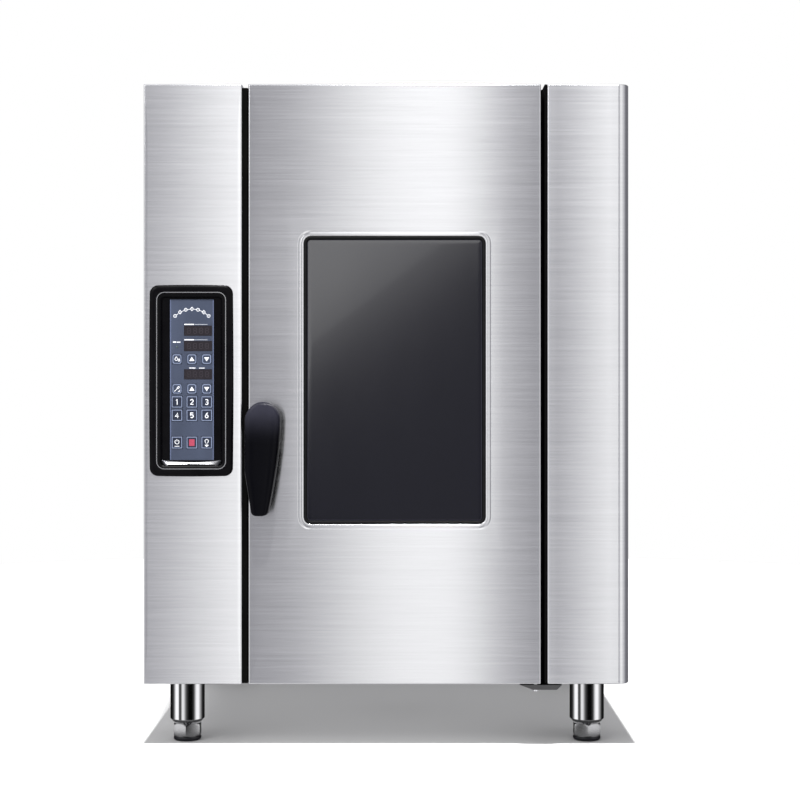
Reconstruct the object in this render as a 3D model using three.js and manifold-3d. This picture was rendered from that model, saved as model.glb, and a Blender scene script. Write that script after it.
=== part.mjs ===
// A ten-tray combi steamer oven on four levelling legs, as an assembly of separate solids.
// Millimetres, +Z up, +X to the right as one faces the door. Inside this file y = 0 is the front
// face of the door, +Y runs back into the oven and the cabinet stands on z = 100; the group at the end
// moves the assembly so that the origin is on the floor, under the middle of its bounding box.

import * as THREE from "three";
import { mergeVertices } from "three/addons/utils/BufferGeometryUtils.js";
import Module from "manifold-3d";

const wasm = await Module();
wasm.setup();

// ---------------------------------------------------------------- driving dimensions

// Body
const WIDTH = 850; // over the side panels
const BODY_BOTTOM = 100;
const BODY_TOP = 1150;
const FLOOR = -19; // the legs stand here, so the clear height under the cabinet is 119 mm
const BODY_DEPTH = 780; // door to rear panel
const SHEET = 1.5; // outer sheet metal
const LINER = 2; // cavity sheet metal
const TOUCH = 0.3; // gap left between pieces that touch

const SIDE = WIDTH / 2;
const BODY_HEIGHT = BODY_TOP - BODY_BOTTOM;

// How far the handle stands out in front of the door and the water inlet behind the rear panel.
const HANDLE_REACH = 60;
const REAR_REACH = 40;

// Front: control fascia, gap, door, gap, right fascia
const DOOR_LEFT = -242;
const DOOR_RIGHT = 270;
const PANEL_GAP = 11;
const FRONT_DEPTH = 64; // depth of the door and fascia boxes
const DOOR_BACK = 56; // inner face of the door
const CONTROL_RIGHT = DOOR_LEFT - PANEL_GAP;
const FASCIA_LEFT = DOOR_RIGHT + PANEL_GAP;
const CORNER = 20; // rounded corner of the right fascia

// Cavity
const OPENING = { left: -176, right: 220, bottom: 205, top: 1055 };
const CAVITY = { floor: 200, ceiling: 1060, back: 700 };
const FAN_CHAMBER = { left: -330, front: 100 };
const FRONT_PLATE = { front: FRONT_DEPTH + TOUCH, back: FRONT_DEPTH + TOUCH + LINER };

// Racks for ten gastronorm 1/1 trays, 325 mm wide, slid in lengthwise
const TRAYS = 10;
const TRAY_PITCH = 78;
const FIRST_RAIL = 268; // height of the lowest rail's middle
const RAIL = { bar: 6, reach: 34 };
const RACK_X = { left: -172, right: 216 }; // outer faces of the posts
const RACK_POSTS = [110, 375, 640];

// Window and its glass
const WINDOW = { x: 14, z: 632, width: 318, height: 504, radius: 12 };
const SEAL_WIDTH = 6;
const GLASS = { front: 2.5, thick: 6 };
const INNER_GLASS = { width: 340, height: 520, thick: 5 };

// Hinge and latch
const PIVOT = { x: 261, y: 9 };
const UPPER_ARM = { bottom: 1142, top: 1147 };
const HANDLE = { x: -216.5, z: 564.5 };
const GRIP = { front: -HANDLE_REACH, back: -36, radius: 27, end: 398.5 };

// Control panel
const BEZEL = { x: -341.5, z: 631, width: 147.5, height: 335, radius: 14, front: -5 };
const WELL = { width: 118, height: 306, radius: 12, wall: 4, floor: 2.5, back: 12 };
const KEYPAD = { x: -341, z: 632.5, width: 77, height: 281, front: 3, back: 5.4 };
const KEY_COLUMNS = [-26, 0, 26];
const KEY_PROUD = 0.8; // also the key's travel
const KEY_THICK = 2.7;
const DISPLAY = { x: 10.7, width: 48.6, height: 17.5, drops: [54.6, 81.5, 131] };

// Key rows: distance of the row's middle below the keypad's top edge, key width and height, names
const KEY_ROWS = [
  { drop: 104.3, width: 16.8, height: 17.5, keys: ["key_moisture", "key_temperature_up", "key_temperature_down"] },
  { drop: 156.4, width: 16.8, height: 17.5, keys: ["key_core_probe", "key_time_up", "key_time_down"] },
  { drop: 179.3, width: 19.7, height: 20.8, keys: ["key_program_1", "key_program_2", "key_program_3"] },
  { drop: 202.6, width: 19.7, height: 20.8, keys: ["key_program_4", "key_program_5", "key_program_6"] },
  { drop: 250.4, width: 19.5, height: 21.7, keys: ["key_power", "key_stop", "key_lamp"] },
];

// Fan, heater and services
const FAN = { y: 400, z: 630, radius: 180, back: -322, front: -253, blades: 18 };
const HEATER = { radius: 205, tube: 6, rings: [-306, -290, -274], terminal: 10 };
const BAFFLE = { left: -187, front: 128, back: 672, bottom: 232, top: 1028 };
const DRAIN = { x: 22, y: 380, outer: 25, inner: 22, bottom: 60 };
const EXHAUST = { x: 22, y: 640, outer: 30, inner: 28, top: 1185 };
const LAMP = { x: 22, y: 180 };
const STEAM = { x: 320, y: 560, radius: 65, outlet: 470 };
const INLET = { x: 320, z: 230 };
const GLAND = { x: -340, z: 180, bore: 7 };

// Legs
const LEG = { x: 362, front: 112, rear: 712, radius: 31, bottom: 15 };
const STUD_RADIUS = 7.7;

// ---------------------------------------------------------------- geometry helpers

const AXES = {
  x: new THREE.Matrix4().makeBasis(
    new THREE.Vector3(0, 1, 0), new THREE.Vector3(0, 0, 1), new THREE.Vector3(1, 0, 0)),
  y: new THREE.Matrix4().makeRotationX(Math.PI / 2),
  z: new THREE.Matrix4(),
};

function toSolid(geometry) {
  const bare = geometry.clone();
  bare.deleteAttribute("normal");
  bare.deleteAttribute("uv");
  const merged = mergeVertices(bare, 1e-3);
  return new wasm.Manifold(new wasm.Mesh({
    numProp: 3,
    vertProperties: merged.attributes.position.array,
    triVerts: new Uint32Array(merged.index.array),
  }));
}

function toGeometry(solid) {
  const mesh = solid.getMesh();
  const geometry = new THREE.BufferGeometry();
  geometry.setAttribute("position", new THREE.BufferAttribute(mesh.vertProperties, 3));
  geometry.setIndex(new THREE.BufferAttribute(mesh.triVerts, 1));
  return geometry;
}

// One body out of several that overlap.
function join(...geometries) {
  return toGeometry(geometries.map(toSolid).reduce((whole, piece) => whole.add(piece)));
}

// A body with every tool's shape taken away.
function cut(geometry, ...tools) {
  return toGeometry(tools.map(toSolid).reduce((whole, tool) => whole.subtract(tool), toSolid(geometry)));
}

function block(x0, x1, y0, y1, z0, z1) {
  const geometry = new THREE.BoxGeometry(x1 - x0, y1 - y0, z1 - z0);
  return geometry.translate((x0 + x1) / 2, (y0 + y1) / 2, (z0 + z1) / 2);
}

// A flat outline pushed along an axis. The outline is drawn in the other two axes, in x, y, z order.
function prism(axis, shape, from, to, curveSegments = 12) {
  const geometry = new THREE.ExtrudeGeometry(shape, { depth: to - from, bevelEnabled: false, curveSegments });
  geometry.applyMatrix4(AXES[axis]);
  const start = axis === "y" ? to : from; // the turn to the y axis reverses the push
  return geometry.translate(axis === "x" ? start : 0, axis === "y" ? start : 0, axis === "z" ? start : 0);
}

// A round bar along an axis. (a, b) is its place in the other two axes, in x, y, z order. An arc gets
// two sides for each curve segment.
function rod(axis, radius, from, to, a, b, sides = 24) {
  const circle = new THREE.Shape();
  circle.absarc(a, b, radius, 0, 2 * Math.PI);
  return prism(axis, circle, from, to, sides / 2);
}

// A body turned about a vertical line through (x, y), from [radius, height] points in a ring.
function turned(profile, x, y, segments = 24) {
  const points = profile.map(([radius, height]) => new THREE.Vector2(radius, height));
  const geometry = new THREE.LatheGeometry(points, segments);
  return geometry.rotateX(Math.PI / 2).translate(x, y, 0);
}

function roundedRectangle(x, z, width, height, radius) {
  const [left, right, bottom, top] = [x - width / 2, x + width / 2, z - height / 2, z + height / 2];
  const shape = new THREE.Shape();
  shape.moveTo(left + radius, bottom);
  shape.lineTo(right - radius, bottom);
  shape.absarc(right - radius, bottom + radius, radius, -Math.PI / 2, 0);
  shape.lineTo(right, top - radius);
  shape.absarc(right - radius, top - radius, radius, 0, Math.PI / 2);
  shape.lineTo(left + radius, top);
  shape.absarc(left + radius, top - radius, radius, Math.PI / 2, Math.PI);
  shape.lineTo(left, bottom + radius);
  shape.absarc(left + radius, bottom + radius, radius, Math.PI, 1.5 * Math.PI);
  return shape;
}

// A plate with rounded corners that faces the front, from y0 back to y1.
function plate(x, z, width, height, radius, y0, y1) {
  return prism("y", roundedRectangle(x, z, width, height, radius), y0, y1, 3);
}

// A picture-frame ring of plate, with the given border.
function ring(x, z, width, height, radius, border, y0, y1) {
  const outer = plate(x, z, width, height, radius, y0, y1);
  const inner = plate(x, z, width - 2 * border, height - 2 * border, Math.max(radius - border, 1), y0 - 1, y1 + 1);
  return cut(outer, inner);
}

// ---------------------------------------------------------------- materials

const finish = (color, roughness, metalness) => new THREE.MeshStandardMaterial({ color, roughness, metalness });
const brushedSteel = finish(0xc8c8ce, 0.35, 1);
const plainSteel = finish(0xb4b4ba, 0.45, 1);
const polishedSteel = finish(0xd8d8dc, 0.12, 1);
const blackPlastic = finish(0x16161a, 0.3, 0);
const blackRubber = finish(0x0c0c0e, 0.7, 0);
const tintedGlass = finish(0x2a2a34, 0.05, 0);
const clearGlass = finish(0x9aa4a8, 0.05, 0);
const keypadBlue = finish(0x56607b, 0.4, 0);
const keyBlue = finish(0x2f3550, 0.45, 0);
const keyRed = finish(0xa03048, 0.45, 0);
const darkDisplay = finish(0x241f26, 0.2, 0);
const motorPaint = finish(0x4a4d52, 0.6, 0.2);
const brass = finish(0xb08d57, 0.35, 1);

// ---------------------------------------------------------------- front boxes

// A door skin or fascia: a sheet-metal box, open at the back.
function frontBox(x0, x1, back) {
  return cut(
    block(x0, x1, 0, back, BODY_BOTTOM, BODY_TOP),
    block(x0 + SHEET, x1 - SHEET, SHEET, back + 1, BODY_BOTTOM + SHEET, BODY_TOP - SHEET),
  );
}

// ---------------------------------------------------------------- cabinet

function baseFrame() {
  const [x, front, back] = [SIDE - SHEET - TOUCH, FRONT_PLATE.back + TOUCH, BODY_DEPTH - SHEET - TOUCH];
  return cut(
    block(-x, x, front, back, BODY_BOTTOM, BODY_BOTTOM + 22),
    block(-x + LINER, x - LINER, front + LINER, back - LINER, BODY_BOTTOM + LINER, BODY_BOTTOM + 40),
    rod("z", DRAIN.outer + 2, BODY_BOTTOM - 1, BODY_BOTTOM + 5, DRAIN.x, DRAIN.y),
  );
}

// Ventilation slots through a panel that faces sideways or back.
function slots(axis, from, to, centre, length, bottom, count) {
  const SLOT_HEIGHT = 7;
  const SLOT_PITCH = 17;
  return Array.from({ length: count }, (_, i) => {
    const z = bottom + i * SLOT_PITCH;
    const [a0, a1] = [centre - length / 2, centre + length / 2];
    return axis === "x" ? block(from, to, a0, a1, z, z + SLOT_HEIGHT) : block(a0, a1, from, to, z, z + SLOT_HEIGHT);
  });
}

function sidePanel(sign) {
  const FLANGE = 16;
  const outline = new THREE.Shape();
  const [front, back] = [FRONT_PLATE.back + TOUCH, BODY_DEPTH];
  const points = [
    [SIDE, FRONT_PLATE.front], [SIDE, back], [SIDE - FLANGE, back], [SIDE - FLANGE, back - SHEET],
    [SIDE - SHEET, back - SHEET], [SIDE - SHEET, front], [SIDE - SHEET, FRONT_PLATE.front],
  ];
  outline.setFromPoints(points.map(([x, y]) => new THREE.Vector2(x, y)));
  const sheet = cut(
    prism("z", outline, BODY_BOTTOM, BODY_TOP - SHEET - TOUCH),
    ...slots("x", SIDE - SHEET - 2, SIDE + 2, 250, 110, 165, 8),
    ...slots("x", SIDE - SHEET - 2, SIDE + 2, 560, 110, 165, 8),
  );
  if (sign > 0) return sheet;
  return toGeometry(toSolid(sheet).mirror([1, 0, 0]));
}

function topCover() {
  const inside = SIDE - SHEET - TOUCH;
  const back = BODY_DEPTH - SHEET - TOUCH;
  const front = FRONT_PLATE.back + TOUCH;
  const lid = block(-SIDE, SIDE, FRONT_PLATE.front, BODY_DEPTH, BODY_TOP - SHEET, BODY_TOP);
  const rim = cut(
    block(-inside, inside, front, back, BODY_TOP - 20, BODY_TOP - SHEET / 2),
    block(-inside + SHEET, inside - SHEET, front + SHEET, back - SHEET, BODY_TOP - 30, BODY_TOP - SHEET),
  );
  return cut(join(lid, rim), rod("z", EXHAUST.outer + 3, BODY_TOP - 5, BODY_TOP + 5, EXHAUST.x, EXHAUST.y));
}

function rearPanel() {
  const x = SIDE - 16 - TOUCH;
  const [front, back] = [BODY_DEPTH - SHEET, BODY_DEPTH];
  return cut(
    block(-x, x, front, back, BODY_BOTTOM, BODY_TOP - SHEET - TOUCH),
    ...slots("y", front - 2, back + 2, -230, 180, 900, 9),
    ...slots("y", front - 2, back + 2, 230, 180, 900, 9),
    rod("y", 15, front - 2, back + 2, INLET.x, INLET.z),
    rod("y", 10, front - 2, back + 2, GLAND.x, GLAND.z),
  );
}

function controlFascia() {
  const margin = 2;
  return cut(
    frontBox(-SIDE, CONTROL_RIGHT, FRONT_DEPTH),
    plate(BEZEL.x, BEZEL.z, WELL.width + margin, WELL.height + margin, WELL.radius + margin / 2, -5, 20),
  );
}

// The right fascia turns its outer corner in a soft curve.
function rightFasciaOutline(inset, back) {
  const shape = new THREE.Shape();
  shape.moveTo(FASCIA_LEFT + inset, inset);
  shape.lineTo(SIDE - CORNER, inset);
  shape.absarc(SIDE - CORNER, CORNER, CORNER - inset, -Math.PI / 2, 0);
  shape.lineTo(SIDE - inset, back);
  shape.lineTo(FASCIA_LEFT + inset, back);
  shape.closePath();
  return shape;
}

function rightFascia() {
  return cut(
    prism("z", rightFasciaOutline(0, FRONT_DEPTH), BODY_BOTTOM, BODY_TOP, 4),
    prism("z", rightFasciaOutline(SHEET, FRONT_DEPTH + 1), BODY_BOTTOM + SHEET, BODY_TOP - SHEET, 4),
  );
}

// ---------------------------------------------------------------- legs

function legTube(x, y) {
  const { radius, bottom } = LEG;
  const top = BODY_BOTTOM - TOUCH;
  const [wall, plug] = [3, bottom + 26];
  const bore = STUD_RADIUS + TOUCH;
  return turned([
    [bore, bottom], [radius - 3, bottom], [radius, bottom + 5], [radius, top],
    [radius - wall, top], [radius - wall, plug], [bore, plug], [bore, bottom],
  ], x, y);
}

function levellingFoot(x, y) {
  const HEX_CORNER = 27;
  const [padTop, hexTop] = [FLOOR + 8, LEG.bottom - 3];
  const pad = turned([[0, FLOOR], [20, FLOOR], [25, FLOOR + 3.5], [25, padTop], [0, padTop]], x, y);
  const hex = rod("z", HEX_CORNER, padTop - 0.5, hexTop, x, y, 6);
  const collar = rod("z", 22, hexTop - 0.5, LEG.bottom - TOUCH, x, y, 16);
  const stud = rod("z", STUD_RADIUS, hexTop, BODY_BOTTOM - 20, x, y, 12);
  return join(pad, hex, collar, stud);
}

// ---------------------------------------------------------------- cavity

function cavityLiner() {
  const { left, right, bottom, top } = OPENING;
  const { floor, ceiling, back } = CAVITY;
  const chamber = FAN_CHAMBER;
  const facing = block(
    -SIDE + LINER, SIDE - LINER, FRONT_PLATE.front, FRONT_PLATE.back,
    BODY_BOTTOM + TOUCH, BODY_TOP - SHEET - TOUCH,
  );
  const shell = join(
    facing,
    block(left - LINER, right + LINER, FRONT_PLATE.front, back + LINER, floor - LINER, ceiling + LINER),
    block(chamber.left - LINER, left, chamber.front - LINER, back + LINER, floor - LINER, ceiling + LINER),
  );
  const heaterY = HEATER.radius * Math.sin(THREE.MathUtils.degToRad(HEATER.terminal));
  const heaterZ = FAN.z - HEATER.radius * Math.cos(THREE.MathUtils.degToRad(HEATER.terminal));
  const wall = [chamber.left - LINER - 1, chamber.left + 1];
  return cut(
    shell,
    block(left, right, FRONT_PLATE.back, back, floor, ceiling),
    block(left, right, FRONT_PLATE.front - 1, FRONT_PLATE.back + 1, bottom, top),
    block(chamber.left, left + 1, chamber.front, back, floor, ceiling),
    block(HANDLE.x - 20, HANDLE.x + 20, 60, FRONT_PLATE.back + 1, HANDLE.z - 27, HANDLE.z + 27),
    block(BEZEL.x - 40, BEZEL.x + 40, 60, FRONT_PLATE.back + 1, BEZEL.z - 120, BEZEL.z + 120),
    rod("z", DRAIN.outer + 0.5, floor - 4, floor + 1, DRAIN.x, DRAIN.y),
    rod("z", EXHAUST.inner, ceiling - 1, ceiling + 4, EXHAUST.x, EXHAUST.y),
    rod("z", 33, ceiling - 1, ceiling + 4, LAMP.x, LAMP.y),
    rod("x", 14, ...wall, FAN.y, FAN.z, 12),
    rod("x", 9, ...wall, FAN.y - heaterY, heaterZ, 8),
    rod("x", 9, ...wall, FAN.y + heaterY, heaterZ, 8),
    rod("x", 9, right - 1, right + 4, STEAM.y, STEAM.outlet, 8),
  );
}

function doorGasket() {
  const border = 14;
  const out = 20; // from the opening's edge to the gasket's outer edge
  const [width, height] = [OPENING.right - OPENING.left + 2 * out, OPENING.top - OPENING.bottom + 2 * out];
  const [x, z] = [(OPENING.left + OPENING.right) / 2, (OPENING.bottom + OPENING.top) / 2];
  return ring(x, z, width, height, 24, border, DOOR_BACK + TOUCH, FRONT_DEPTH);
}

// A rack: three posts and ten rails on arms. inward is +1 on the left rack and -1 on the right.
function rack(outerX, inward) {
  const { bar, reach } = RAIL;
  const span = (from, to) => [outerX + inward * from, outerX + inward * to].sort((a, b) => a - b);
  const [front, back] = [RACK_POSTS[0] + 1, RACK_POSTS.at(-1) + bar - 1];
  const topRail = FIRST_RAIL + (TRAYS - 1) * TRAY_PITCH;
  const posts = RACK_POSTS.map((y) => block(...span(0, bar), y, y + bar, FIRST_RAIL - 45, topRail + 40));
  const rails = Array.from({ length: TRAYS }, (_, i) => {
    const z = FIRST_RAIL + i * TRAY_PITCH;
    const arms = RACK_POSTS.map((y) => block(...span(bar / 2, reach + bar / 2), y + 2, y + bar - 2, z - 2, z + 2));
    return [block(...span(reach, reach + bar), front, back, z - bar / 2, z + bar / 2), ...arms];
  });
  return join(...posts, ...rails.flat());
}

function fanBaffle() {
  const { left, front, back, bottom, top } = BAFFLE;
  const sheet = block(left, left + SHEET, front, back, bottom, top);
  const spoke = (angle, from, to) => {
    const slot = block(left - 2, left + SHEET + 2, from, to, -5, 5);
    return slot.rotateX(angle).translate(0, FAN.y, FAN.z);
  };
  const rings = [[10, 28, 62], [20, 74, 118]];
  const grille = rings.flatMap(([count, from, to]) =>
    Array.from({ length: count }, (_, i) => spoke((i * 2 * Math.PI) / count, from, to)));
  const studs = [[front + 30, bottom + 30], [back - 30, bottom + 30], [front + 30, top - 30], [back - 30, top - 30]];
  const wall = FAN_CHAMBER.left + TOUCH;
  return join(cut(sheet, ...grille), ...studs.map(([y, z]) => rod("x", 5, wall, left + SHEET / 2, y, z, 6)));
}

function fanWheel() {
  const { y, z, radius, back, front, blades } = FAN;
  const disc = rod("x", radius, back, back + 2, y, z, 32);
  const rim = cut(rod("x", radius, front - 2, front, y, z, 32), rod("x", radius - 30, front - 5, front + 5, y, z, 32));
  const hub = rod("x", 26, back, back + 34, y, z, 12);
  const shaft = rod("x", 10, -398, back + 1, y, z, 8);
  const blade = (i) => {
    const slab = block(back + 1, front - 1, -1.2, 1.2, radius - 50, radius - 4);
    slab.translate(0, 0, -radius + 50).rotateX(0.5).translate(0, 0, radius - 50);
    return slab.rotateX((i * 2 * Math.PI) / blades).translate(0, y, z);
  };
  return join(disc, hub, shaft, rim, ...Array.from({ length: blades }, (_, i) => blade(i)));
}

function fanMotor() {
  const { y, z } = FAN;
  const wall = FAN_CHAMBER.left - LINER - TOUCH;
  const body = join(
    block(wall - 4, wall, y - 85, y + 85, z - 85, z + 85),
    rod("x", 72, -418, wall - 3, y, z, 16),
    block(-412, -350, y - 30, y + 30, z + 60, z + 92),
  );
  return cut(body, rod("x", 11, -401, wall + 1, y, z, 16));
}

function heatingCoil() {
  const { radius, tube, rings, terminal } = HEATER;
  const hoop = (x) =>
    new THREE.TorusGeometry(radius, tube, 6, 24).rotateY(Math.PI / 2).translate(x, FAN.y, FAN.z);
  const leg = (sign) => {
    const angle = THREE.MathUtils.degToRad(terminal) * sign;
    const [y, z] = [FAN.y + radius * Math.sin(angle), FAN.z - radius * Math.cos(angle)];
    return rod("x", 5, -350, rings.at(-1), y, z, 8);
  };
  return join(...rings.map(hoop), leg(-1), leg(1));
}

function cavityLamp() {
  const { ceiling } = CAVITY;
  const above = ceiling + LINER + TOUCH;
  return turned([
    [0, ceiling - 4], [26, ceiling - 4], [32, ceiling - 1], [32, above],
    [38, above], [38, above + 34], [0, above + 34],
  ], LAMP.x, LAMP.y);
}

function exhaustStack() {
  const { x, y, outer, inner, top } = EXHAUST;
  const bottom = CAVITY.ceiling + LINER + TOUCH;
  return turned([
    [inner, bottom], [outer, bottom], [outer, top - 4], [outer + 2, top - 4],
    [outer + 2, top], [inner, top], [inner, bottom],
  ], x, y);
}

function drainPipe() {
  const { x, y, outer, inner, bottom } = DRAIN;
  const top = CAVITY.floor;
  return turned([[inner, bottom], [outer, bottom], [outer, top], [inner, top], [inner, bottom]], x, y);
}

// ---------------------------------------------------------------- services in the side compartments

function steamGenerator() {
  const { x, y, radius, outlet } = STEAM;
  const wall = OPENING.right + LINER + TOUCH;
  const vessel = join(
    rod("z", radius, 130, 500, x, y, 20),
    rod("z", radius + 8, 486, 500, x, y, 20),
    rod("z", 8, 500, 560, x - 30, y, 6),
    rod("z", 8, 500, 560, x + 30, y, 6),
    rod("x", 11, wall, x - radius + 10, y, outlet, 8),
  );
  return cut(vessel, rod("z", radius - 2, 132, 488, x, y, 20), rod("x", 8, wall - 1, x, y, outlet, 8));
}

function waterInletValve() {
  const { x, z } = INLET;
  return join(
    rod("y", 6, STEAM.y + STEAM.radius + TOUCH, 720, x, z, 8),
    block(x - 22, x + 22, 715, 770, z - 20, z + 34),
    rod("y", 13, 768, BODY_DEPTH + REAR_REACH, x, z, 12),
    rod("y", 17, BODY_DEPTH + TOUCH, BODY_DEPTH + 8, x, z, 6),
  );
}

function cableGland() {
  const { x, z, bore } = GLAND;
  const back = BODY_DEPTH + TOUCH;
  return cut(
    join(
      rod("y", 15, BODY_DEPTH - SHEET - TOUCH - 6, BODY_DEPTH - SHEET - TOUCH, x, z, 6),
      rod("y", 9.6, BODY_DEPTH - 8, back + 1, x, z, 16),
      rod("y", 17, back, back + 9, x, z, 6),
      rod("y", 13.5, back + 8, back + 20, x, z, 16),
      rod("y", 11, back + 19, back + 25, x, z, 16),
    ),
    rod("y", bore, BODY_DEPTH - 12, back + 30, x, z, 16),
  );
}

function electricalPanel() {
  const back = [-418, -415];
  const contactor = (y, z) => block(-416, -362, y, y + 75, z, z + 85);
  return join(
    block(...back, 130, 560, 150, 480),
    contactor(160, 330), contactor(260, 330), contactor(430, 330),
    block(-416, -385, 150, 540, 200, 240),
    block(-416, -370, 150, 300, 255, 315),
  );
}

// ---------------------------------------------------------------- control panel

// The bezel stands on the fascia, and its well goes through the fascia to hold the keypad.
function controlBezel() {
  const { x, z, front } = BEZEL;
  const { width, height, radius, wall, floor, back } = WELL;
  return cut(
    join(
      plate(x, z, BEZEL.width, BEZEL.height, BEZEL.radius, front, -TOUCH),
      plate(x, z, width, height, radius, -TOUCH - 1, back),
    ),
    plate(x, z, width - 2 * wall, height - 2 * wall, radius - wall, front - 1, floor),
    plate(KEYPAD.x, KEYPAD.z, KEYPAD.width + 2 * TOUCH, KEYPAD.height + 2 * TOUCH, 2, 0, back + 1),
  );
}

// The middle of a key or display, given its place on the keypad.
const onKeypad = (column, drop) => [KEYPAD.x + column, KEYPAD.z + KEYPAD.height / 2 - drop];

function keypadPanel() {
  const sheet = plate(KEYPAD.x, KEYPAD.z, KEYPAD.width, KEYPAD.height, 1.5, KEYPAD.front, KEYPAD.back);
  const hole = ([x, z], width, height) =>
    block(
      x - width / 2 - TOUCH, x + width / 2 + TOUCH, KEYPAD.front - 1, KEYPAD.back + 1,
      z - height / 2 - TOUCH, z + height / 2 + TOUCH,
    );
  const keyHoles = KEY_ROWS.flatMap(({ drop, width, height }) =>
    KEY_COLUMNS.map((column) => hole(onKeypad(column, drop), width, height)));
  const windows = DISPLAY.drops.map((drop) => hole(onKeypad(DISPLAY.x, drop), DISPLAY.width, DISPLAY.height));
  return cut(sheet, ...keyHoles, ...windows);
}

function displayBoard() {
  const BOARD = { front: 9, back: 10.6 };
  const tube = (drop) => {
    const [x, z] = onKeypad(DISPLAY.x, drop);
    const [w, h] = [DISPLAY.width / 2, DISPLAY.height / 2];
    return block(x - w, x + w, KEYPAD.front + 0.5, BOARD.front + 0.5, z - h, z + h);
  };
  const board = plate(KEYPAD.x, KEYPAD.z, KEYPAD.width - 3, KEYPAD.height - 8, 2, BOARD.front, BOARD.back);
  return join(board, ...DISPLAY.drops.map(tube));
}

function keyCap(column, row) {
  const [x, z] = onKeypad(column, row.drop);
  const front = KEYPAD.front - KEY_PROUD;
  return plate(x, z, row.width, row.height, 1.5, front, front + KEY_THICK);
}

// ---------------------------------------------------------------- door

// The corner of the door above the upper hinge arm, behind the front sheet, is cut away for the arm.
const hingeNotch = () =>
  block(PIVOT.x - 30, DOOR_RIGHT + 1, PIVOT.y - 7.5, DOOR_BACK + 1, UPPER_ARM.bottom - 1.5, BODY_TOP + 1);

function doorOuterPanel() {
  return cut(
    frontBox(DOOR_LEFT, DOOR_RIGHT, DOOR_BACK - SHEET - TOUCH),
    plate(WINDOW.x, WINDOW.z, WINDOW.width, WINDOW.height, WINDOW.radius, -5, 12),
    rod("y", 9, -5, 12, HANDLE.x, HANDLE.z, 12),
    rod("z", 6, BODY_BOTTOM - 1, BODY_BOTTOM + 4, PIVOT.x, PIVOT.y, 12),
    hingeNotch(),
  );
}

// Inner door sheet, with a rim inside the outer panel and a steel tunnel between the two glasses.
function doorInnerPanel() {
  const [front, back] = [DOOR_BACK - SHEET, DOOR_BACK];
  const inset = SHEET + TOUCH;
  const tunnel = { width: WINDOW.width - 14, height: WINDOW.height - 14 };
  const [midX, midZ] = [(DOOR_LEFT + DOOR_RIGHT) / 2, (BODY_BOTTOM + BODY_TOP) / 2];
  const [width, height] = [DOOR_RIGHT - DOOR_LEFT, BODY_HEIGHT];
  const sheet = block(DOOR_LEFT, DOOR_RIGHT, front, back, BODY_BOTTOM, BODY_TOP);
  const rim = ring(midX, midZ, width - 2 * inset, height - 2 * inset, 1, SHEET, 30, front + 0.5);
  const sleeve = plate(WINDOW.x, WINDOW.z, tunnel.width, tunnel.height, 8, 12.6, front + 0.5);
  return cut(
    join(sheet, rim, sleeve),
    plate(WINDOW.x, WINDOW.z, tunnel.width - 2 * SHEET, tunnel.height - 2 * SHEET, 6.5, 5, back + 1),
    rod("y", 9, front - 3, back + 3, HANDLE.x, HANDLE.z, 12),
    hingeNotch(),
  );
}

function glassSeal() {
  const { x, z, width, height, radius } = WINDOW;
  const [w, h] = [width - 2 * TOUCH, height - 2 * TOUCH];
  const glassBack = GLASS.front + GLASS.thick + TOUCH;
  return join(
    ring(x, z, w, h, radius, SEAL_WIDTH - TOUCH, -0.6, glassBack + 0.5),
    ring(x, z, w, h, radius, SEAL_WIDTH + 6, glassBack, 12.3),
  );
}

function outerGlass() {
  const { x, z, width, height, radius } = WINDOW;
  const edge = SEAL_WIDTH + TOUCH;
  const [w, h] = [width - 2 * edge, height - 2 * edge];
  return plate(x, z, w, h, radius - edge, GLASS.front, GLASS.front + GLASS.thick);
}

function innerGlass() {
  const { width, height, thick } = INNER_GLASS;
  return plate(WINDOW.x, WINDOW.z, width, height, 8, DOOR_BACK + TOUCH, DOOR_BACK + TOUCH + thick);
}

function hingePivotLower() {
  const { x, y } = PIVOT;
  return join(
    rod("z", 5, 87, BODY_BOTTOM + 8, x, y, 12),
    block(x - 16, x + 4, y - 7, y + 12, BODY_BOTTOM + SHEET + TOUCH, BODY_BOTTOM + 26),
  );
}

function hingePivotUpper() {
  const { x, y } = PIVOT;
  return join(
    rod("z", 4, 1130, UPPER_ARM.top, x, y, 12),
    block(x - 16, x + 4, y - 7, y + 12, 1112, UPPER_ARM.bottom - 3),
  );
}

// A pressed arm under the door's lower corner, with a tongue that bolts under the base frame.
function hingeBracketLower() {
  const top = BODY_BOTTOM - 1.3;
  const outline = new THREE.Shape();
  [[233, top], [256, 90], [298, 90], [307, top]].forEach(([x, z], i) =>
    i ? outline.lineTo(x, z) : outline.moveTo(x, z));
  return cut(
    join(
      prism("y", outline, PIVOT.y - 8, 88),
      block(240, 300, 80, 160, 94.5, BODY_BOTTOM - TOUCH),
    ),
    rod("z", 5 + TOUCH, 80, BODY_BOTTOM + 1, PIVOT.x, PIVOT.y, 12),
  );
}

// An angle on the front plate, whose arm reaches into the door's top corner.
function hingeBracketUpper() {
  const { x, y } = PIVOT;
  const { bottom, top } = UPPER_ARM;
  const face = FRONT_DEPTH;
  return cut(
    join(
      rod("z", 7, bottom, top, x, y, 12),
      block(x - 22, x - 1, y, face, bottom, top),
      block(x - 22, x + 4, face - 4, face, bottom - 45, top),
    ),
    rod("z", 4 + TOUCH, bottom - 1, top + 1, x, y, 12),
  );
}

// ---------------------------------------------------------------- latch

function latchKeeper() {
  const { x, z } = HANDLE;
  return cut(
    block(x - 20, x + 16, FRONT_DEPTH - 2.5, FRONT_DEPTH, z - 42, z + 42),
    block(x - 7, x + 7, FRONT_DEPTH - 5, FRONT_DEPTH + 2, z - 20, z + 20),
  );
}

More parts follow.
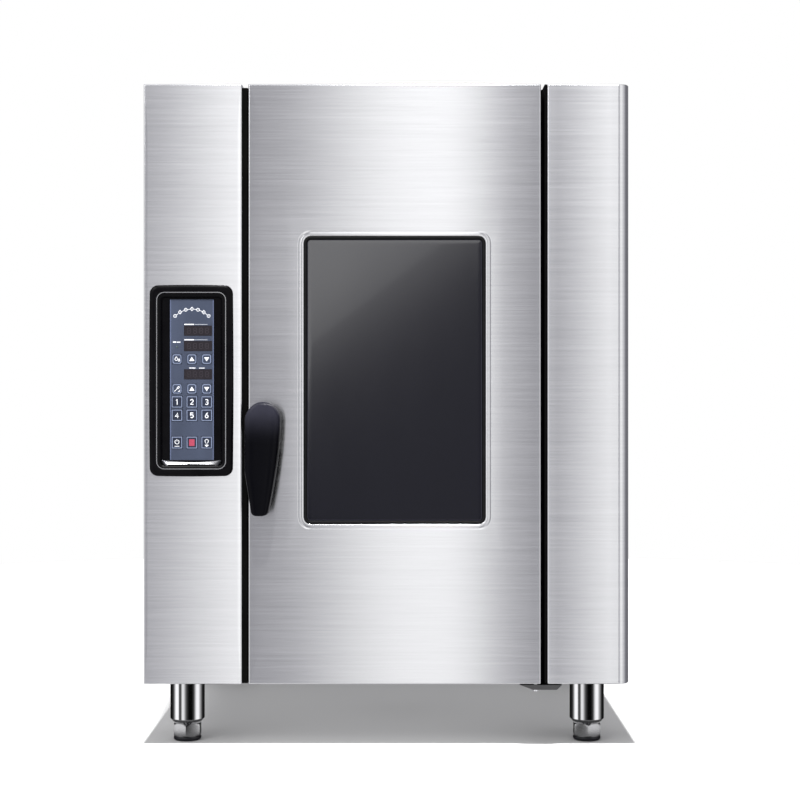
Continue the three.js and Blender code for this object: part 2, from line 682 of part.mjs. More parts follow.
// Boss, shaft and crossbar in one turned and milled piece. The crossbar lies behind the keeper.
function latchSpindle() {
  const { x, z } = HANDLE;
  const face = -TOUCH;
  const nose = { front: FRONT_PLATE.back + 4, back: FRONT_PLATE.back + 12 };
  return join(
    rod("y", 24, GRIP.back + TOUCH, face, x, z, 24),
    rod("y", 8, face - 1, DOOR_BACK + 3, x, z, 16),
    rod("y", 5, DOOR_BACK + 2, nose.front + 1, x, z, 12),
    block(x - 15, x + 15, nose.front, nose.back, z - 5, z + 5),
  );
}

function doorHandle() {
  const { x, z } = HANDLE;
  const { radius, end } = GRIP;
  const outline = new THREE.Shape();
  outline.moveTo(x + radius, z);
  outline.absarc(x, z, radius, 0, Math.PI);
  outline.lineTo(x - radius, z - 90);
  outline.quadraticCurveTo(x - radius + 1, z - 115, x - 20.5, end + 12);
  outline.quadraticCurveTo(x - 18, end, x - 10, end);
  outline.lineTo(x - 5, end);
  outline.quadraticCurveTo(x + 4, end, x + 6.5, end + 12);
  outline.closePath();
  return prism("y", outline, GRIP.front, GRIP.back, 8);
}

// ---------------------------------------------------------------- assembly

const oven = new THREE.Group();

function add(name, geometry, material) {
  const mesh = new THREE.Mesh(geometry, material);
  mesh.name = name;
  oven.add(mesh);
}

add("base_frame", baseFrame(), plainSteel);
add("left_side_panel", sidePanel(-1), brushedSteel);
add("right_side_panel", sidePanel(1), brushedSteel);
add("top_cover", topCover(), brushedSteel);
add("rear_panel", rearPanel(), plainSteel);
add("control_fascia", controlFascia(), brushedSteel);
add("right_fascia", rightFascia(), brushedSteel);

for (const [end, y] of [["front", LEG.front], ["rear", LEG.rear]])
  for (const [side, x] of [["left", -LEG.x], ["right", LEG.x]]) {
    add(`leg_${end}_${side}`, legTube(x, y), polishedSteel);
    add(`levelling_foot_${end}_${side}`, levellingFoot(x, y), polishedSteel);
  }

add("cavity_liner", cavityLiner(), plainSteel);
add("door_gasket", doorGasket(), blackRubber);
add("rack_left", rack(RACK_X.left, 1), polishedSteel);
add("rack_right", rack(RACK_X.right, -1), polishedSteel);
add("fan_baffle", fanBaffle(), plainSteel);
add("fan_wheel", fanWheel(), plainSteel);
add("fan_motor", fanMotor(), motorPaint);
add("heating_coil", heatingCoil(), motorPaint);
add("cavity_lamp", cavityLamp(), clearGlass);
add("exhaust_stack", exhaustStack(), plainSteel);
add("drain_pipe", drainPipe(), plainSteel);
add("steam_generator", steamGenerator(), plainSteel);
add("water_inlet_valve", waterInletValve(), brass);
add("cable_gland", cableGland(), blackPlastic);
add("electrical_panel", electricalPanel(), motorPaint);

add("control_bezel", controlBezel(), blackPlastic);
add("keypad_panel", keypadPanel(), keypadBlue);
add("display_board", displayBoard(), darkDisplay);
for (const row of KEY_ROWS)
  row.keys.forEach((name, i) =>
    add(name, keyCap(KEY_COLUMNS[i], row), name === "key_stop" ? keyRed : keyBlue));

add("door_outer_panel", doorOuterPanel(), brushedSteel);
add("door_inner_panel", doorInnerPanel(), plainSteel);
add("glass_seal", glassSeal(), blackRubber);
add("outer_glass", outerGlass(), tintedGlass);
add("inner_glass", innerGlass(), clearGlass);
add("hinge_pivot_lower", hingePivotLower(), plainSteel);
add("hinge_pivot_upper", hingePivotUpper(), plainSteel);
add("hinge_bracket_lower", hingeBracketLower(), plainSteel);
add("hinge_bracket_upper", hingeBracketUpper(), plainSteel);
add("latch_keeper", latchKeeper(), plainSteel);
add("latch_spindle", latchSpindle(), blackPlastic);
add("door_handle", doorHandle(), blackPlastic);

// Depth over everything runs from the handle's face to the water inlet's end.
oven.position.set(0, -(BODY_DEPTH + REAR_REACH - HANDLE_REACH) / 2, -FLOOR);

export default oven;
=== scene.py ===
"""Looks of a ten-tray combi steamer oven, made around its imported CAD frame. Metres, +Z up."""

import math

import bmesh
import bpy
from mathutils import Matrix, Vector

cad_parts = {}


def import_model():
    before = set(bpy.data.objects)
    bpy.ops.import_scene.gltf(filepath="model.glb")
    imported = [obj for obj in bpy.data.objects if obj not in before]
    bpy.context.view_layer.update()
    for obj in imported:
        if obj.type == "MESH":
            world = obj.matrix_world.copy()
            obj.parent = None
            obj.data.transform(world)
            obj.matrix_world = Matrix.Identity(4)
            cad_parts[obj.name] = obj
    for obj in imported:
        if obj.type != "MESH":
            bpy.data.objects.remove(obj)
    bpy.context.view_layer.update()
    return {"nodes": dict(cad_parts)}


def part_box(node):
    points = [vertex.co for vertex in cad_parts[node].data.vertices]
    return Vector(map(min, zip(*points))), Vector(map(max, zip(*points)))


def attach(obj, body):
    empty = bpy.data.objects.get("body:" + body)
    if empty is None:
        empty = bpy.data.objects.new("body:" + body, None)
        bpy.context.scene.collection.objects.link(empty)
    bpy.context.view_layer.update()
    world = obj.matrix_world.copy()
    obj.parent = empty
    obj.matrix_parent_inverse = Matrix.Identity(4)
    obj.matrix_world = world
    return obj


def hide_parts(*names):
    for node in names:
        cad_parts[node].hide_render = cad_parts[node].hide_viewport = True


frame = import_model()

MM = 0.001
SMOOTH_ANGLE = math.radians(32)


class Box:
    """Where a CAD node is at rest."""

    def __init__(self, node):
        low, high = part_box(node)
        self.x0, self.y0, self.z0 = low
        self.x1, self.y1, self.z1 = high
        self.x, self.y, self.z = (low + high) / 2
        self.w, self.d, self.h = high - low


DOOR = Box("door_outer_panel")
FASCIA = Box("control_fascia")
SIDE = Box("right_fascia")
SEAL = Box("glass_seal")
GLASS = Box("outer_glass")
BEZEL = Box("control_bezel")
KEYPAD = Box("keypad_panel")
HANDLE = Box("door_handle")
SPINDLE = Box("latch_spindle")
FRONT = DOOR.y0
BEND = 2.6 * MM  # outer bend radius of the front sheets
SHEET_CORNER = 1.6 * MM
WINDOW_CORNER = 12 * MM
SOFT = math.radians(50)  # smoothing angle of folded sheet


# ------------------------------------------------------------------ node helpers for materials


class Nodes:
    """A short way to write a node tree."""

    def __init__(self, tree):
        self.tree = tree
        tree.nodes.clear()

    def add(self, kind, inputs=None, **settings):
        node = self.tree.nodes.new(kind)
        for key, value in settings.items():
            setattr(node, key, value)
        for key, value in (inputs or {}).items():
            if isinstance(value, bpy.types.NodeSocket):
                self.tree.links.new(value, node.inputs[key])
            else:
                node.inputs[key].default_value = value
        return node

    def math(self, operation, a, b=0.0):
        return self.add("ShaderNodeMath", {0: a, 1: b}, operation=operation).outputs[0]

    def plus(self, a, b):
        return self.math("ADD", a, b)

    def minus(self, a, b):
        return self.math("SUBTRACT", a, b)

    def times(self, a, b):
        return self.math("MULTIPLY", a, b)

    def spread(self, value, low, high, to_low=0.0, to_high=1.0, smooth=False):
        """value, taken from the range low to high into the range to_low to to_high."""
        inputs = {0: value, 1: low, 2: high, 3: to_low, 4: to_high}
        kind = "SMOOTHSTEP" if smooth else "LINEAR"
        return self.add("ShaderNodeMapRange", inputs, interpolation_type=kind).outputs[0]

    def between(self, noise, to_low=0.0, to_high=1.0):
        """A noise, whose values lie mostly from 0.3 to 0.7, taken into the range to_low to to_high."""
        return self.spread(noise, 0.3, 0.7, to_low, to_high)

    def place(self, scale=(1, 1, 1)):
        """The surface point in the piece's own frame, in metres, scaled."""
        point = self.add("ShaderNodeTexCoord").outputs["Object"]
        return self.add("ShaderNodeMapping", {"Vector": point, "Scale": scale}).outputs[0]

    def along(self, axis):
        """One coordinate of that point: 0 for x, 1 for y, 2 for z."""
        return self.add("ShaderNodeSeparateXYZ", {0: self.place()}).outputs[axis]

    def noise(self, scale, detail, roughness, stretch=(1, 1, 1)):
        inputs = {"Vector": self.place(stretch), "Scale": scale, "Detail": detail, "Roughness": roughness}
        return self.add("ShaderNodeTexNoise", inputs).outputs["Fac"]

    def mix(self, factor, a, b):
        node = self.add("ShaderNodeMix", {0: factor}, data_type="RGBA")
        for index, value in ((6, a), (7, b)):
            if isinstance(value, bpy.types.NodeSocket):
                self.tree.links.new(value, node.inputs[index])
            else:
                node.inputs[index].default_value = (*value, 1)
        return node.outputs[2]

    def bump(self, height, distance, strength=1.0, normal=None):
        inputs = {"Height": height, "Distance": distance, "Strength": strength}
        if normal is not None:
            inputs["Normal"] = normal
        return self.add("ShaderNodeBump", inputs).outputs[0]

    def by_azimuth(self, x, y, table):
        """Brightness in the direction (x, y), from a table of (degrees, brightness). 0 is towards -y."""
        turn = self.math("DIVIDE", self.math("ARCTAN2", x, self.times(y, -1.0)), math.tau)
        node = self.add("ShaderNodeFloatCurve", {"Value": self.plus(turn, 0.5)})
        points = node.mapping.curves[0].points
        top = max(level for _, level in table)
        for i, (angle, level) in enumerate(table):
            place = ((angle + 180) / 360, level / top)
            point = points[i] if i < 2 else points.new(*place)
            point.location = place
            point.handle_type = "AUTO_CLAMPED"
        node.mapping.update()
        return self.times(node.outputs[0], top)

    def show(self, shader, kind="ShaderNodeOutputMaterial"):
        """Joins a shader to the tree's output."""
        self.tree.links.new(shader.outputs[0], self.add(kind).inputs[0])

    def surface(self, inputs):
        self.show(self.add("ShaderNodeBsdfPrincipled", inputs))


def new_material(name):
    material = bpy.data.materials.new(name)
    material.use_nodes = True
    return material, Nodes(material.node_tree)


# ------------------------------------------------------------------ materials


def brushed_steel(name, stretch, tone=0.62, aniso=0.85, waves=None, axis="Z"):
    """Sheet ground in one direction. stretch is small along the grain. waves makes the height of the
    sheet's slow bow, which turns its reflections as real thin sheet does."""
    material, n = new_material(name)
    fine = n.noise(1.0, 2.0, 0.6, tuple(1500 * s for s in stretch))
    broad = n.noise(1.0, 3.0, 0.6, tuple(420 * s for s in stretch))
    cloud = n.noise(2.2, 2.0, 0.5)
    streak = n.plus(n.times(fine, 0.45), n.times(broad, 0.55))
    low, high = (tone * 0.94, tone * 0.943, tone * 0.966), (tone * 1.05, tone * 1.053, tone * 1.078)
    color = n.mix(n.between(streak), low, high)
    roughness = n.plus(n.spread(streak, 0.25, 0.75, 0.17, 0.24), n.between(cloud, -0.015, 0.02))
    bowed = n.bump(waves(n), 1.0) if waves else None
    tangent = n.add("ShaderNodeTangent", direction_type="RADIAL", axis=axis).outputs[0]
    n.surface({
        "Base Color": color, "Metallic": 1.0, "Roughness": roughness,
        "Normal": n.bump(streak, 0.00007, 0.5, bowed), "Tangent": tangent,
        "Anisotropic": aniso, "Anisotropic Rotation": 0.25,
    })
    return material


def satin_steel(name, tone=0.55, rough=0.33, clouds=1.0):
    """Plain rolled stainless sheet: no grain, faint clouds and a fine texture."""
    material, n = new_material(name)
    cloud = n.noise(9.0, 5.0, 0.6)
    grit = n.noise(900.0, 2.0, 0.5)
    dark, light = tone * (1 - 0.08 * clouds), tone * (1 + 0.05 * clouds)
    color = n.mix(n.between(cloud), (dark, dark, dark * 1.02), (light, light, light * 1.01))
    blotchy = n.between(cloud, rough - 0.05 * clouds, rough + 0.07 * clouds)
    roughness = n.plus(blotchy, n.between(grit, -0.02, 0.02))
    n.surface({"Base Color": color, "Metallic": 1.0, "Roughness": roughness,
               "Normal": n.bump(grit, 0.00004, 0.4)})
    return material


def polished_steel(name, tone=0.78, rough=0.06):
    """Turned and polished metal with faint turning marks and smears."""
    material, n = new_material(name)
    turning = n.noise(1.0, 2.0, 0.6, (30, 30, 1500))
    smear = n.noise(14.0, 4.0, 0.6)
    smeared = n.spread(smear, 0.35, 0.75, rough, rough + 0.06)
    roughness = n.plus(smeared, n.spread(turning, 0.4, 0.7, 0.0, 0.03))
    dull = tone * 0.94
    color = n.mix(n.between(smear), (tone, tone, tone * 1.02), (dull, dull, tone * 0.97))
    n.surface({"Base Color": color, "Metallic": 1.0, "Roughness": roughness,
               "Normal": n.bump(turning, 0.00003, 0.4)})
    return material


def sill_steel(name):
    """Polished steel that is bright in the middle of the sill, with painted shade that darkens it towards
    its ends.
    """
    material, n = new_material(name)
    smear = n.noise(40.0, 3.0, 0.6)
    away = n.math("ABSOLUTE", n.minus(n.along(0), BEZEL.x))
    # painted shade: darker towards the sill's ends, where its reflection of the light fades
    ends = n.spread(away, 0.018, 0.05, smooth=True)
    shade = n.mix(ends, (0.62, 0.62, 0.64), (0.03, 0.03, 0.034))
    n.surface({"Base Color": shade, "Metallic": 1.0, "Roughness": n.between(smear, 0.2, 0.3)})
    return material


def moulded_plastic(name, color, rough=0.3, grain=0.5, coat=0.0, shine=0.5):
    """Injection-moulded plastic with a fine spark texture."""
    material, n = new_material(name)
    spark = n.noise(1400.0, 2.0, 0.55)
    haze = n.noise(25.0, 3.0, 0.6)
    lighter = tuple(c * 1.25 + 0.001 for c in color)
    tint = n.mix(n.between(haze), color, lighter)
    roughness = n.plus(n.between(haze, rough - 0.04, rough + 0.05), n.between(spark, -0.03, 0.03))
    n.surface({"Base Color": tint, "Roughness": roughness, "Specular IOR Level": shine,
               "Coat Weight": coat, "Coat Roughness": 0.08, "Normal": n.bump(spark, 0.00005, grain)})
    return material


def handle_plastic(name):
    """Black plastic with a painted sheen: its upper end is painted a lighter grey, in place of the light
    from above that it reflects.
    """
    material, n = new_material(name)
    spark = n.noise(1400.0, 2.0, 0.55)
    haze = n.noise(30.0, 4.0, 0.6)
    # painted sheen: the colour gets lighter towards the lever's top, standing in for reflected overhead
    # light
    painted_top_sheen = n.spread(n.along(2), HANDLE.z1 - 80 * MM, HANDLE.z1 - 5 * MM, smooth=True)
    patchy_painted_sheen = n.times(n.times(painted_top_sheen, painted_top_sheen), n.between(haze, 0.8, 1.0))
    tint = n.mix(patchy_painted_sheen, (0.0010, 0.0010, 0.0020), (0.028, 0.028, 0.040))
    n.surface({"Base Color": tint, "Roughness": n.between(haze, 0.2, 0.28),
               "Specular IOR Level": 0.06, "Normal": n.bump(spark, 0.00005, 0.4)})
    return material


def rubber(name, color, shine=0.5):
    """Moulded rubber with pores and a trace of dust."""
    material, n = new_material(name)
    dust = n.noise(60.0, 6.0, 0.7)
    pores = n.noise(1800.0, 2.0, 0.5)
    tint = n.mix(n.spread(dust, 0.45, 0.8), color, tuple(c * 2.0 for c in color))
    n.surface({"Base Color": tint, "Roughness": n.between(dust, 0.42, 0.6),
               "Specular IOR Level": shine, "Normal": n.bump(pores, 0.00006, 0.6)})
    return material


def tinted_glass(name):
    """Dark coated glass: a deep tint under two reflecting faces, with faint smears."""
    material, n = new_material(name)
    smear = n.noise(5.0, 5.0, 0.65, (1, 1, 0.35))
    tint = n.mix(n.spread(smear, 0.35, 0.75), (0.0016, 0.0016, 0.0042), (0.002, 0.002, 0.005))
    n.surface({"Base Color": tint, "Roughness": n.spread(smear, 0.3, 0.8, 0.14, 0.18), "IOR": 1.5,
               "Specular IOR Level": 0.14, "Coat Weight": 0.03, "Coat Roughness": 0.03, "Coat IOR": 1.5})
    return material


def clear_glass(name, tint=(0.86, 0.92, 0.9)):
    """Glass to look through, with faint smears."""
    material, n = new_material(name)
    smear = n.noise(8.0, 5.0, 0.6, (1, 1, 0.4))
    n.surface({"Base Color": (*tint, 1), "Roughness": n.spread(smear, 0.35, 0.8, 0.01, 0.06),
               "IOR": 1.5, "Transmission Weight": 1.0})
    return material


def enamel(name, color, rough=0.45, metal=0.0):
    """Stove paint with orange peel and a little dust."""
    material, n = new_material(name)
    peel = n.noise(420.0, 2.0, 0.4)
    dust = n.noise(16.0, 6.0, 0.65)
    tint = n.mix(n.spread(dust, 0.4, 0.8), color, tuple(c * 1.35 + 0.01 for c in color))
    roughness = n.spread(dust, 0.3, 0.8, rough - 0.06, rough + 0.1)
    n.surface({"Base Color": tint, "Metallic": metal, "Roughness": roughness,
               "Normal": n.bump(peel, 0.0001, 0.35)})
    return material


def membrane(name, color):
    """Printed polyester film over the keys: a fine velvet texture and slow colour drift."""
    material, n = new_material(name)
    velvet = n.noise(2600.0, 2.0, 0.5)
    drift = n.noise(18.0, 3.0, 0.5, (1, 1, 0.5))
    tint = n.mix(n.between(drift), tuple(c * 0.76 for c in color), color)
    n.surface({"Base Color": tint, "Roughness": n.between(velvet, 0.34, 0.44),
               "Specular IOR Level": 0.2, "Normal": n.bump(velvet, 0.00003, 0.4)})
    return material


def printed(name, color):
    """Screen-printed ink."""
    material, n = new_material(name)
    weave = n.noise(3000.0, 2.0, 0.6)
    tint = n.mix(n.spread(weave, 0.35, 0.7), tuple(c * 0.9 for c in color), color)
    n.surface({"Base Color": tint, "Roughness": n.between(weave, 0.45, 0.58),
               "Normal": n.bump(weave, 0.00002, 0.3)})
    return material


def display_window(name):
    """Smoked filter over an unlit display: fine vertical louvres under gloss."""
    material, n = new_material(name)
    louvre = n.math("FRACT", n.times(n.along(0), 900.0))
    haze = n.noise(70.0, 3.0, 0.6)
    lines = n.mix(n.spread(louvre, 0.2, 0.8), (0.010, 0.008, 0.010), (0.020, 0.017, 0.021))
    tint = n.mix(n.times(haze, 0.4), lines, (0.026, 0.023, 0.028))
    n.surface({"Base Color": tint, "Roughness": n.between(haze, 0.2, 0.3),
               "Specular IOR Level": 0.15})
    return material


def hill(n, low, top, high, rise, fall):
    """A bow across a sheet: its slope runs from rise at low, through nothing at top, to fall at high."""
    x = n.along(0)
    left = n.math("MINIMUM", n.minus(x, top), 0.0)
    right = n.math("MAXIMUM", n.minus(x, top), 0.0)
    left_bow = n.times(n.times(left, left), rise / (2 * (top - low)))
    right_bow = n.times(n.times(right, right), fall / (2 * (high - top)))
    return n.times(n.plus(left_bow, right_bow), -1.0)


def bow(n, low, high, slope_low, slope_high):
    """A sheet that leans to the right by slope_low at its left edge and slope_high at its right edge."""
    t = n.minus(n.along(0), low)
    bend = n.times(n.times(t, t), (slope_high - slope_low) / (2 * (high - low)))
    return n.times(n.plus(bend, n.times(t, slope_low)), -1.0)


GRAIN_LEVEL = (0.010, 0.010, 1.0)  # horizontal grain on upright sheets
GRAIN_ROOF = (0.010, 1.0, 1.0)

steel_door = brushed_steel("steel_door", GRAIN_LEVEL, waves=lambda n: hill(
    n, DOOR.x0, DOOR.x0 + 0.66 * DOOR.w, DOOR.x1, 0.035, 0.05))
steel_left = brushed_steel("steel_left", GRAIN_LEVEL, tone=0.67, waves=lambda n: bow(
    n, FASCIA.x0, FASCIA.x1, 0.007, 0.029))
steel_right = brushed_steel("steel_right", GRAIN_LEVEL, tone=0.655, waves=lambda n: bow(
    n, SIDE.x0, SIDE.x1 - 20 * MM, 0.037, -0.032))
steel_side = brushed_steel("steel_side", GRAIN_LEVEL)
steel_roof = brushed_steel("steel_roof", GRAIN_ROOF, aniso=0.5, axis="Y")
steel_sheet = satin_steel("steel_sheet")
steel_liner = satin_steel("steel_liner", 0.55, 0.27, 0.3)
steel_dark = satin_steel("steel_dark", 0.10, 0.3)
steel_polished = polished_steel("steel_polished")
steel_wire = polished_steel("steel_wire", 0.66, 0.14)
steel_trim = polished_steel("steel_trim", 0.42, 0.16)
black_satin = moulded_plastic("black_satin", (0.009, 0.009, 0.012), 0.34, 0.5)
# painted shade: a near-black, almost unreflecting finish that keeps the gaps beside the door black
gap_shade_black = moulded_plastic("gap_shade_black", (0.001, 0.001, 0.001), 0.8, 0.5, shine=0.05)
black_rubber = rubber("black_rubber", (0.003, 0.003, 0.0035), 0.12)
gasket_silicone = rubber("gasket_silicone", (0.02, 0.02, 0.022))
door_glass = tinted_glass("door_glass")
inner_pane = clear_glass("inner_pane")
lamp_glass = clear_glass("lamp_glass", (0.93, 0.93, 0.88))
film_blue = membrane("film_blue", (0.050, 0.062, 0.098))
film_edge = printed("film_edge", (0.12, 0.15, 0.27))
key_film = membrane("key_film", (0.038, 0.049, 0.080))
key_dark = membrane("key_dark", (0.020, 0.026, 0.046))
ink_red = printed("ink_red", (0.36, 0.035, 0.075))
ink_frame = printed("ink_frame", (0.20, 0.24, 0.36))
ink_white = printed("ink_white", (0.86, 0.87, 0.9))
ink_grey = printed("ink_grey", (0.45, 0.47, 0.52))
led_lens = moulded_plastic("led_lens", (0.03, 0.05, 0.05), 0.2, 0.2, coat=0.6)
dark_display = display_window("dark_display")
unlit_segments = moulded_plastic("unlit_segments", (0.028, 0.024, 0.03), 0.3, 0.2, shine=0.2)
black_bezel = moulded_plastic("black_bezel", (0.0008, 0.0007, 0.0012), 0.28, 0.3, shine=0.07)
black_handle = handle_plastic("black_handle")
glass_edge = moulded_plastic("glass_edge", (0.016, 0.016, 0.024), 0.3, 0.2, shine=0.2)
chrome = polished_steel("chrome", 0.8, 0.04)
sill_chrome = sill_steel("sill_chrome")
worn_chrome = polished_steel("worn_chrome", 0.5, 0.2)
dark_enamel = enamel("dark_enamel", (0.05, 0.053, 0.06))
heater_skin = enamel("heater_skin", (0.07, 0.06, 0.055), 0.5, 0.6)
brass = polished_steel("brass", 0.5, 0.25)


# ------------------------------------------------------------------ mesh helpers


def circle(radius, sides):
    """Points round a middle of (0, 0)."""
    turns = [math.tau * k / sides for k in range(sides)]
    return [(radius * math.cos(a), radius * math.sin(a)) for a in turns]


class Shape:
    """Points and faces gathered into one mesh."""

    def __init__(self):
        self.points = []
        self.faces = []

    def ring(self, points):
        """Adds points and returns their numbers."""
        start = len(self.points)
        self.points += [tuple(p) for p in points]
        return list(range(start, len(self.points)))

    def bridge(self, a, b, closed=True):
        """Faces between two rings of equal length."""
        count = len(a)
        for i in range(count if closed else count - 1):
            j = (i + 1) % count
            self.faces.append((a[i], a[j], b[j], b[i]))

    def loft(self, rings, loop=False):
        """Skins the rings in order, then closes the ends, or joins the last ring to the first."""
        made = [self.ring(r) for r in rings]
        for a, b in zip(made, made[1:]):
            self.bridge(a, b)
        if loop:
            self.bridge(made[-1], made[0])
        else:
            self.faces.append(tuple(made[0]))
            self.faces.append(tuple(reversed(made[-1])))
        return self

    def box(self, x0, x1, y0, y1, z0, z1):
        corners = ((x0, z0), (x1, z0), (x1, z1), (x0, z1))
        return self.loft([[(x, y, z) for x, z in corners] for y in (y0, y1)])

    def prism(self, outline, y0, y1):
        """A flat outline of (x, z) points, given thickness along y."""
        return self.loft([[(x, y, z) for x, z in outline] for y in (y0, y1)])

    def ribbon(self, path, width, y0, y1, closed=False):
        """A line of even width drawn along (x, z) points, given thickness along y."""
        left, right = offset_sides(path, width / 2, closed)
        front = [self.ring([(x, y0, z) for x, z in side]) for side in (left, right)]
        back = [self.ring([(x, y1, z) for x, z in side]) for side in (left, right)]
        for a, b in ((front[0], front[1]), (front[1], back[1]), (back[1], back[0]), (back[0], front[0])):
            self.bridge(a, b, closed)
        if not closed:
            for end in (0, -1):
                self.faces.append((front[0][end], front[1][end], back[1][end], back[0][end]))
        return self

    def lathe(self, profile, centre, axis="z", sides=48, loop=False):
        """Turns (radius, height) points in mm round an axis through centre. A radius of 0 makes a pole."""
        rings = []
        for radius, height in profile:
            r = max(radius * MM, 1e-6)
            rings.append([self.stand(centre, axis, u, v, height * MM) for u, v in circle(r, sides)])
        return self.loft(rings, loop=loop)

    @staticmethod
    def stand(centre, axis, u, v, height):
        """A point at a height along an axis, and u and v across it."""
        x, y, z = centre
        if axis == "z":
            return (x + u, y + v, z + height)
        if axis == "y":
            return (x + u, y + height, z + v)
        return (x + height, y + u, z + v)

    def piece(self, name, material, body, slot, replaces=(), bevel=0.0, smooth=SMOOTH_ANGLE, segments=2):
        """Makes the shape an object that rides on a body, in place of the named CAD nodes. The slot is not
        used.
        """
        mesh = bpy.data.meshes.new(name)
        mesh.from_pydata(self.points, [], self.faces)
        tidy = bmesh.new()
        tidy.from_mesh(mesh)
        bmesh.ops.remove_doubles(tidy, verts=tidy.verts, dist=1e-6)
        bmesh.ops.dissolve_degenerate(tidy, edges=tidy.edges, dist=1e-7)
        bmesh.ops.recalc_face_normals(tidy, faces=tidy.faces)
        for face in tidy.faces:
            face.smooth = True
        for edge in tidy.edges:
            edge.smooth = bool(bevel) or edge.calc_face_angle(0.0) < smooth
        tidy.to_mesh(mesh)
        tidy.free()
        mesh.materials.append(material)
        obj = linked(name, mesh)
        if bevel:
            round_edges(obj, bevel, segments, 33).miter_outer = "MITER_ARC"
        keep_flat_faces_flat(obj)
        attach(obj, body)
        if replaces:
            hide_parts(*replaces)


def round_edges(obj, width, segments, angle):
    bevel = obj.modifiers.new("edges", "BEVEL")
    bevel.width = width
    bevel.segments = segments
    bevel.limit_method = "ANGLE"
    bevel.angle_limit = math.radians(angle)
    return bevel


def keep_flat_faces_flat(obj):
    """Lets the large faces decide the shading, so that rounded edges don't bend it."""
    obj.modifiers.new("normals", "WEIGHTED_NORMAL").keep_sharp = True


def linked(name, data):
    obj = bpy.data.objects.new(name, data)
    bpy.context.scene.collection.objects.link(obj)
    return obj


def offset_sides(path, half, closed):
    """The two sides of a line of width 2 * half, mitred at its corners."""
    count = len(path)
    left, right = [], []
    for i, (x, z) in enumerate(path):
        before = path[i - 1] if i or closed else None
        after = path[(i + 1) % count] if i + 1 < count or closed else None
        normals = []
        for a, b in ((before, (x, z)), ((x, z), after)):
            if a and b:
                length = math.hypot(b[0] - a[0], b[1] - a[1]) or 1e-9
                normals.append((-(b[1] - a[1]) / length, (b[0] - a[0]) / length))
        nx = sum(v[0] for v in normals) / len(normals)
        nz = sum(v[1] for v in normals) / len(normals)
        size = max(nx * nx + nz * nz, 0.3)
        left.append((x + nx / size * half, z + nz / size * half))
        right.append((x - nx / size * half, z - nz / size * half))
    return left, right


def arc(x, z, radius, start, end, steps=8):
    """Points (x, z) on a circle, from start to end in degrees."""
    angles = [math.radians(start + (end - start) * i / steps) for i in range(steps + 1)]
    return [(x + radius * math.cos(a), z + radius * math.sin(a)) for a in angles]


def even(count):
    """Fractions that divide a side into equal lengths, without its ends."""
    return [i / count for i in range(1, count)]


def frame_ring(x0, x1, z0, z1, radius, steps=4, level=(), upright=()):
    """(x, z) points round a rounded rectangle, from its lower right corner upwards. Each corner has
    steps + 1 points, and the sides have more at the given fractions of their length, left to right and
    bottom to top."""
    r = max(radius, 1e-5)
    corners = [(x1 - r, z0 + r, -90), (x1 - r, z1 - r, 0), (x0 + r, z1 - r, 90), (x0 + r, z0 + r, 180)]
    level_x = [x0 + r + (x1 - x0 - 2 * r) * f for f in level]
    upright_z = [z0 + r + (z1 - z0 - 2 * r) * f for f in upright]
    right = [(x1, z) for z in upright_z]
    top = [(x, z1) for x in reversed(level_x)]
    left = [(x0, z) for z in reversed(upright_z)]
    bottom = [(x, z0) for x in level_x]
    points = []
    for (x, z, start), side in zip(corners, (right, top, left, bottom)):
        points += arc(x, z, r, start, start + 90, steps) + side
    return points


def mix_rings(a, b, t):
    """Points a share t of the way from those of a to those of b."""
    return [(p[0] + (q[0] - p[0]) * t, p[1] + (q[1] - p[1]) * t) for p, q in zip(a, b)]


def grown(box, by, radius, **sides):
    """A rounded ring by metres outside a box (inside where by is negative)."""
    return frame_ring(box.x0 - by, box.x1 + by, box.z0 - by, box.z1 + by, max(radius + by, 2e-4), **sides)


def sheet(flat, depth):
    """A ring of (x, z) points, stood up at a depth in mm behind the front."""
    return [(x, FRONT + depth * MM, z) for x, z in flat]


def stepped(box, corner, profile, face=FRONT, **sides):
    """Rings round a box that follow a profile of (mm outside it, mm behind the face)."""
    return [[(x, face + depth * MM, z) for x, z in grown(box, by * MM, corner, **sides)]
            for by, depth in profile]


def quarter(steps):
    """(inset, depth) of the points on a sheet's outer bend, from the flange to the front face."""
    turns = [math.pi / 2 * i / steps for i in range(steps + 1)]
    return [(BEND * (1 - math.cos(a)), BEND * (1 - math.sin(a))) for a in turns]


def bend_rings(box, **sides):
    """The rings of a folded edge, from the flange to the front face."""
    return [[(x, box.y0 + depth, z) for x, z in grown(box, -inset, SHEET_CORNER, **sides)]
            for inset, depth in quarter(4)]


# ------------------------------------------------------------------ the door


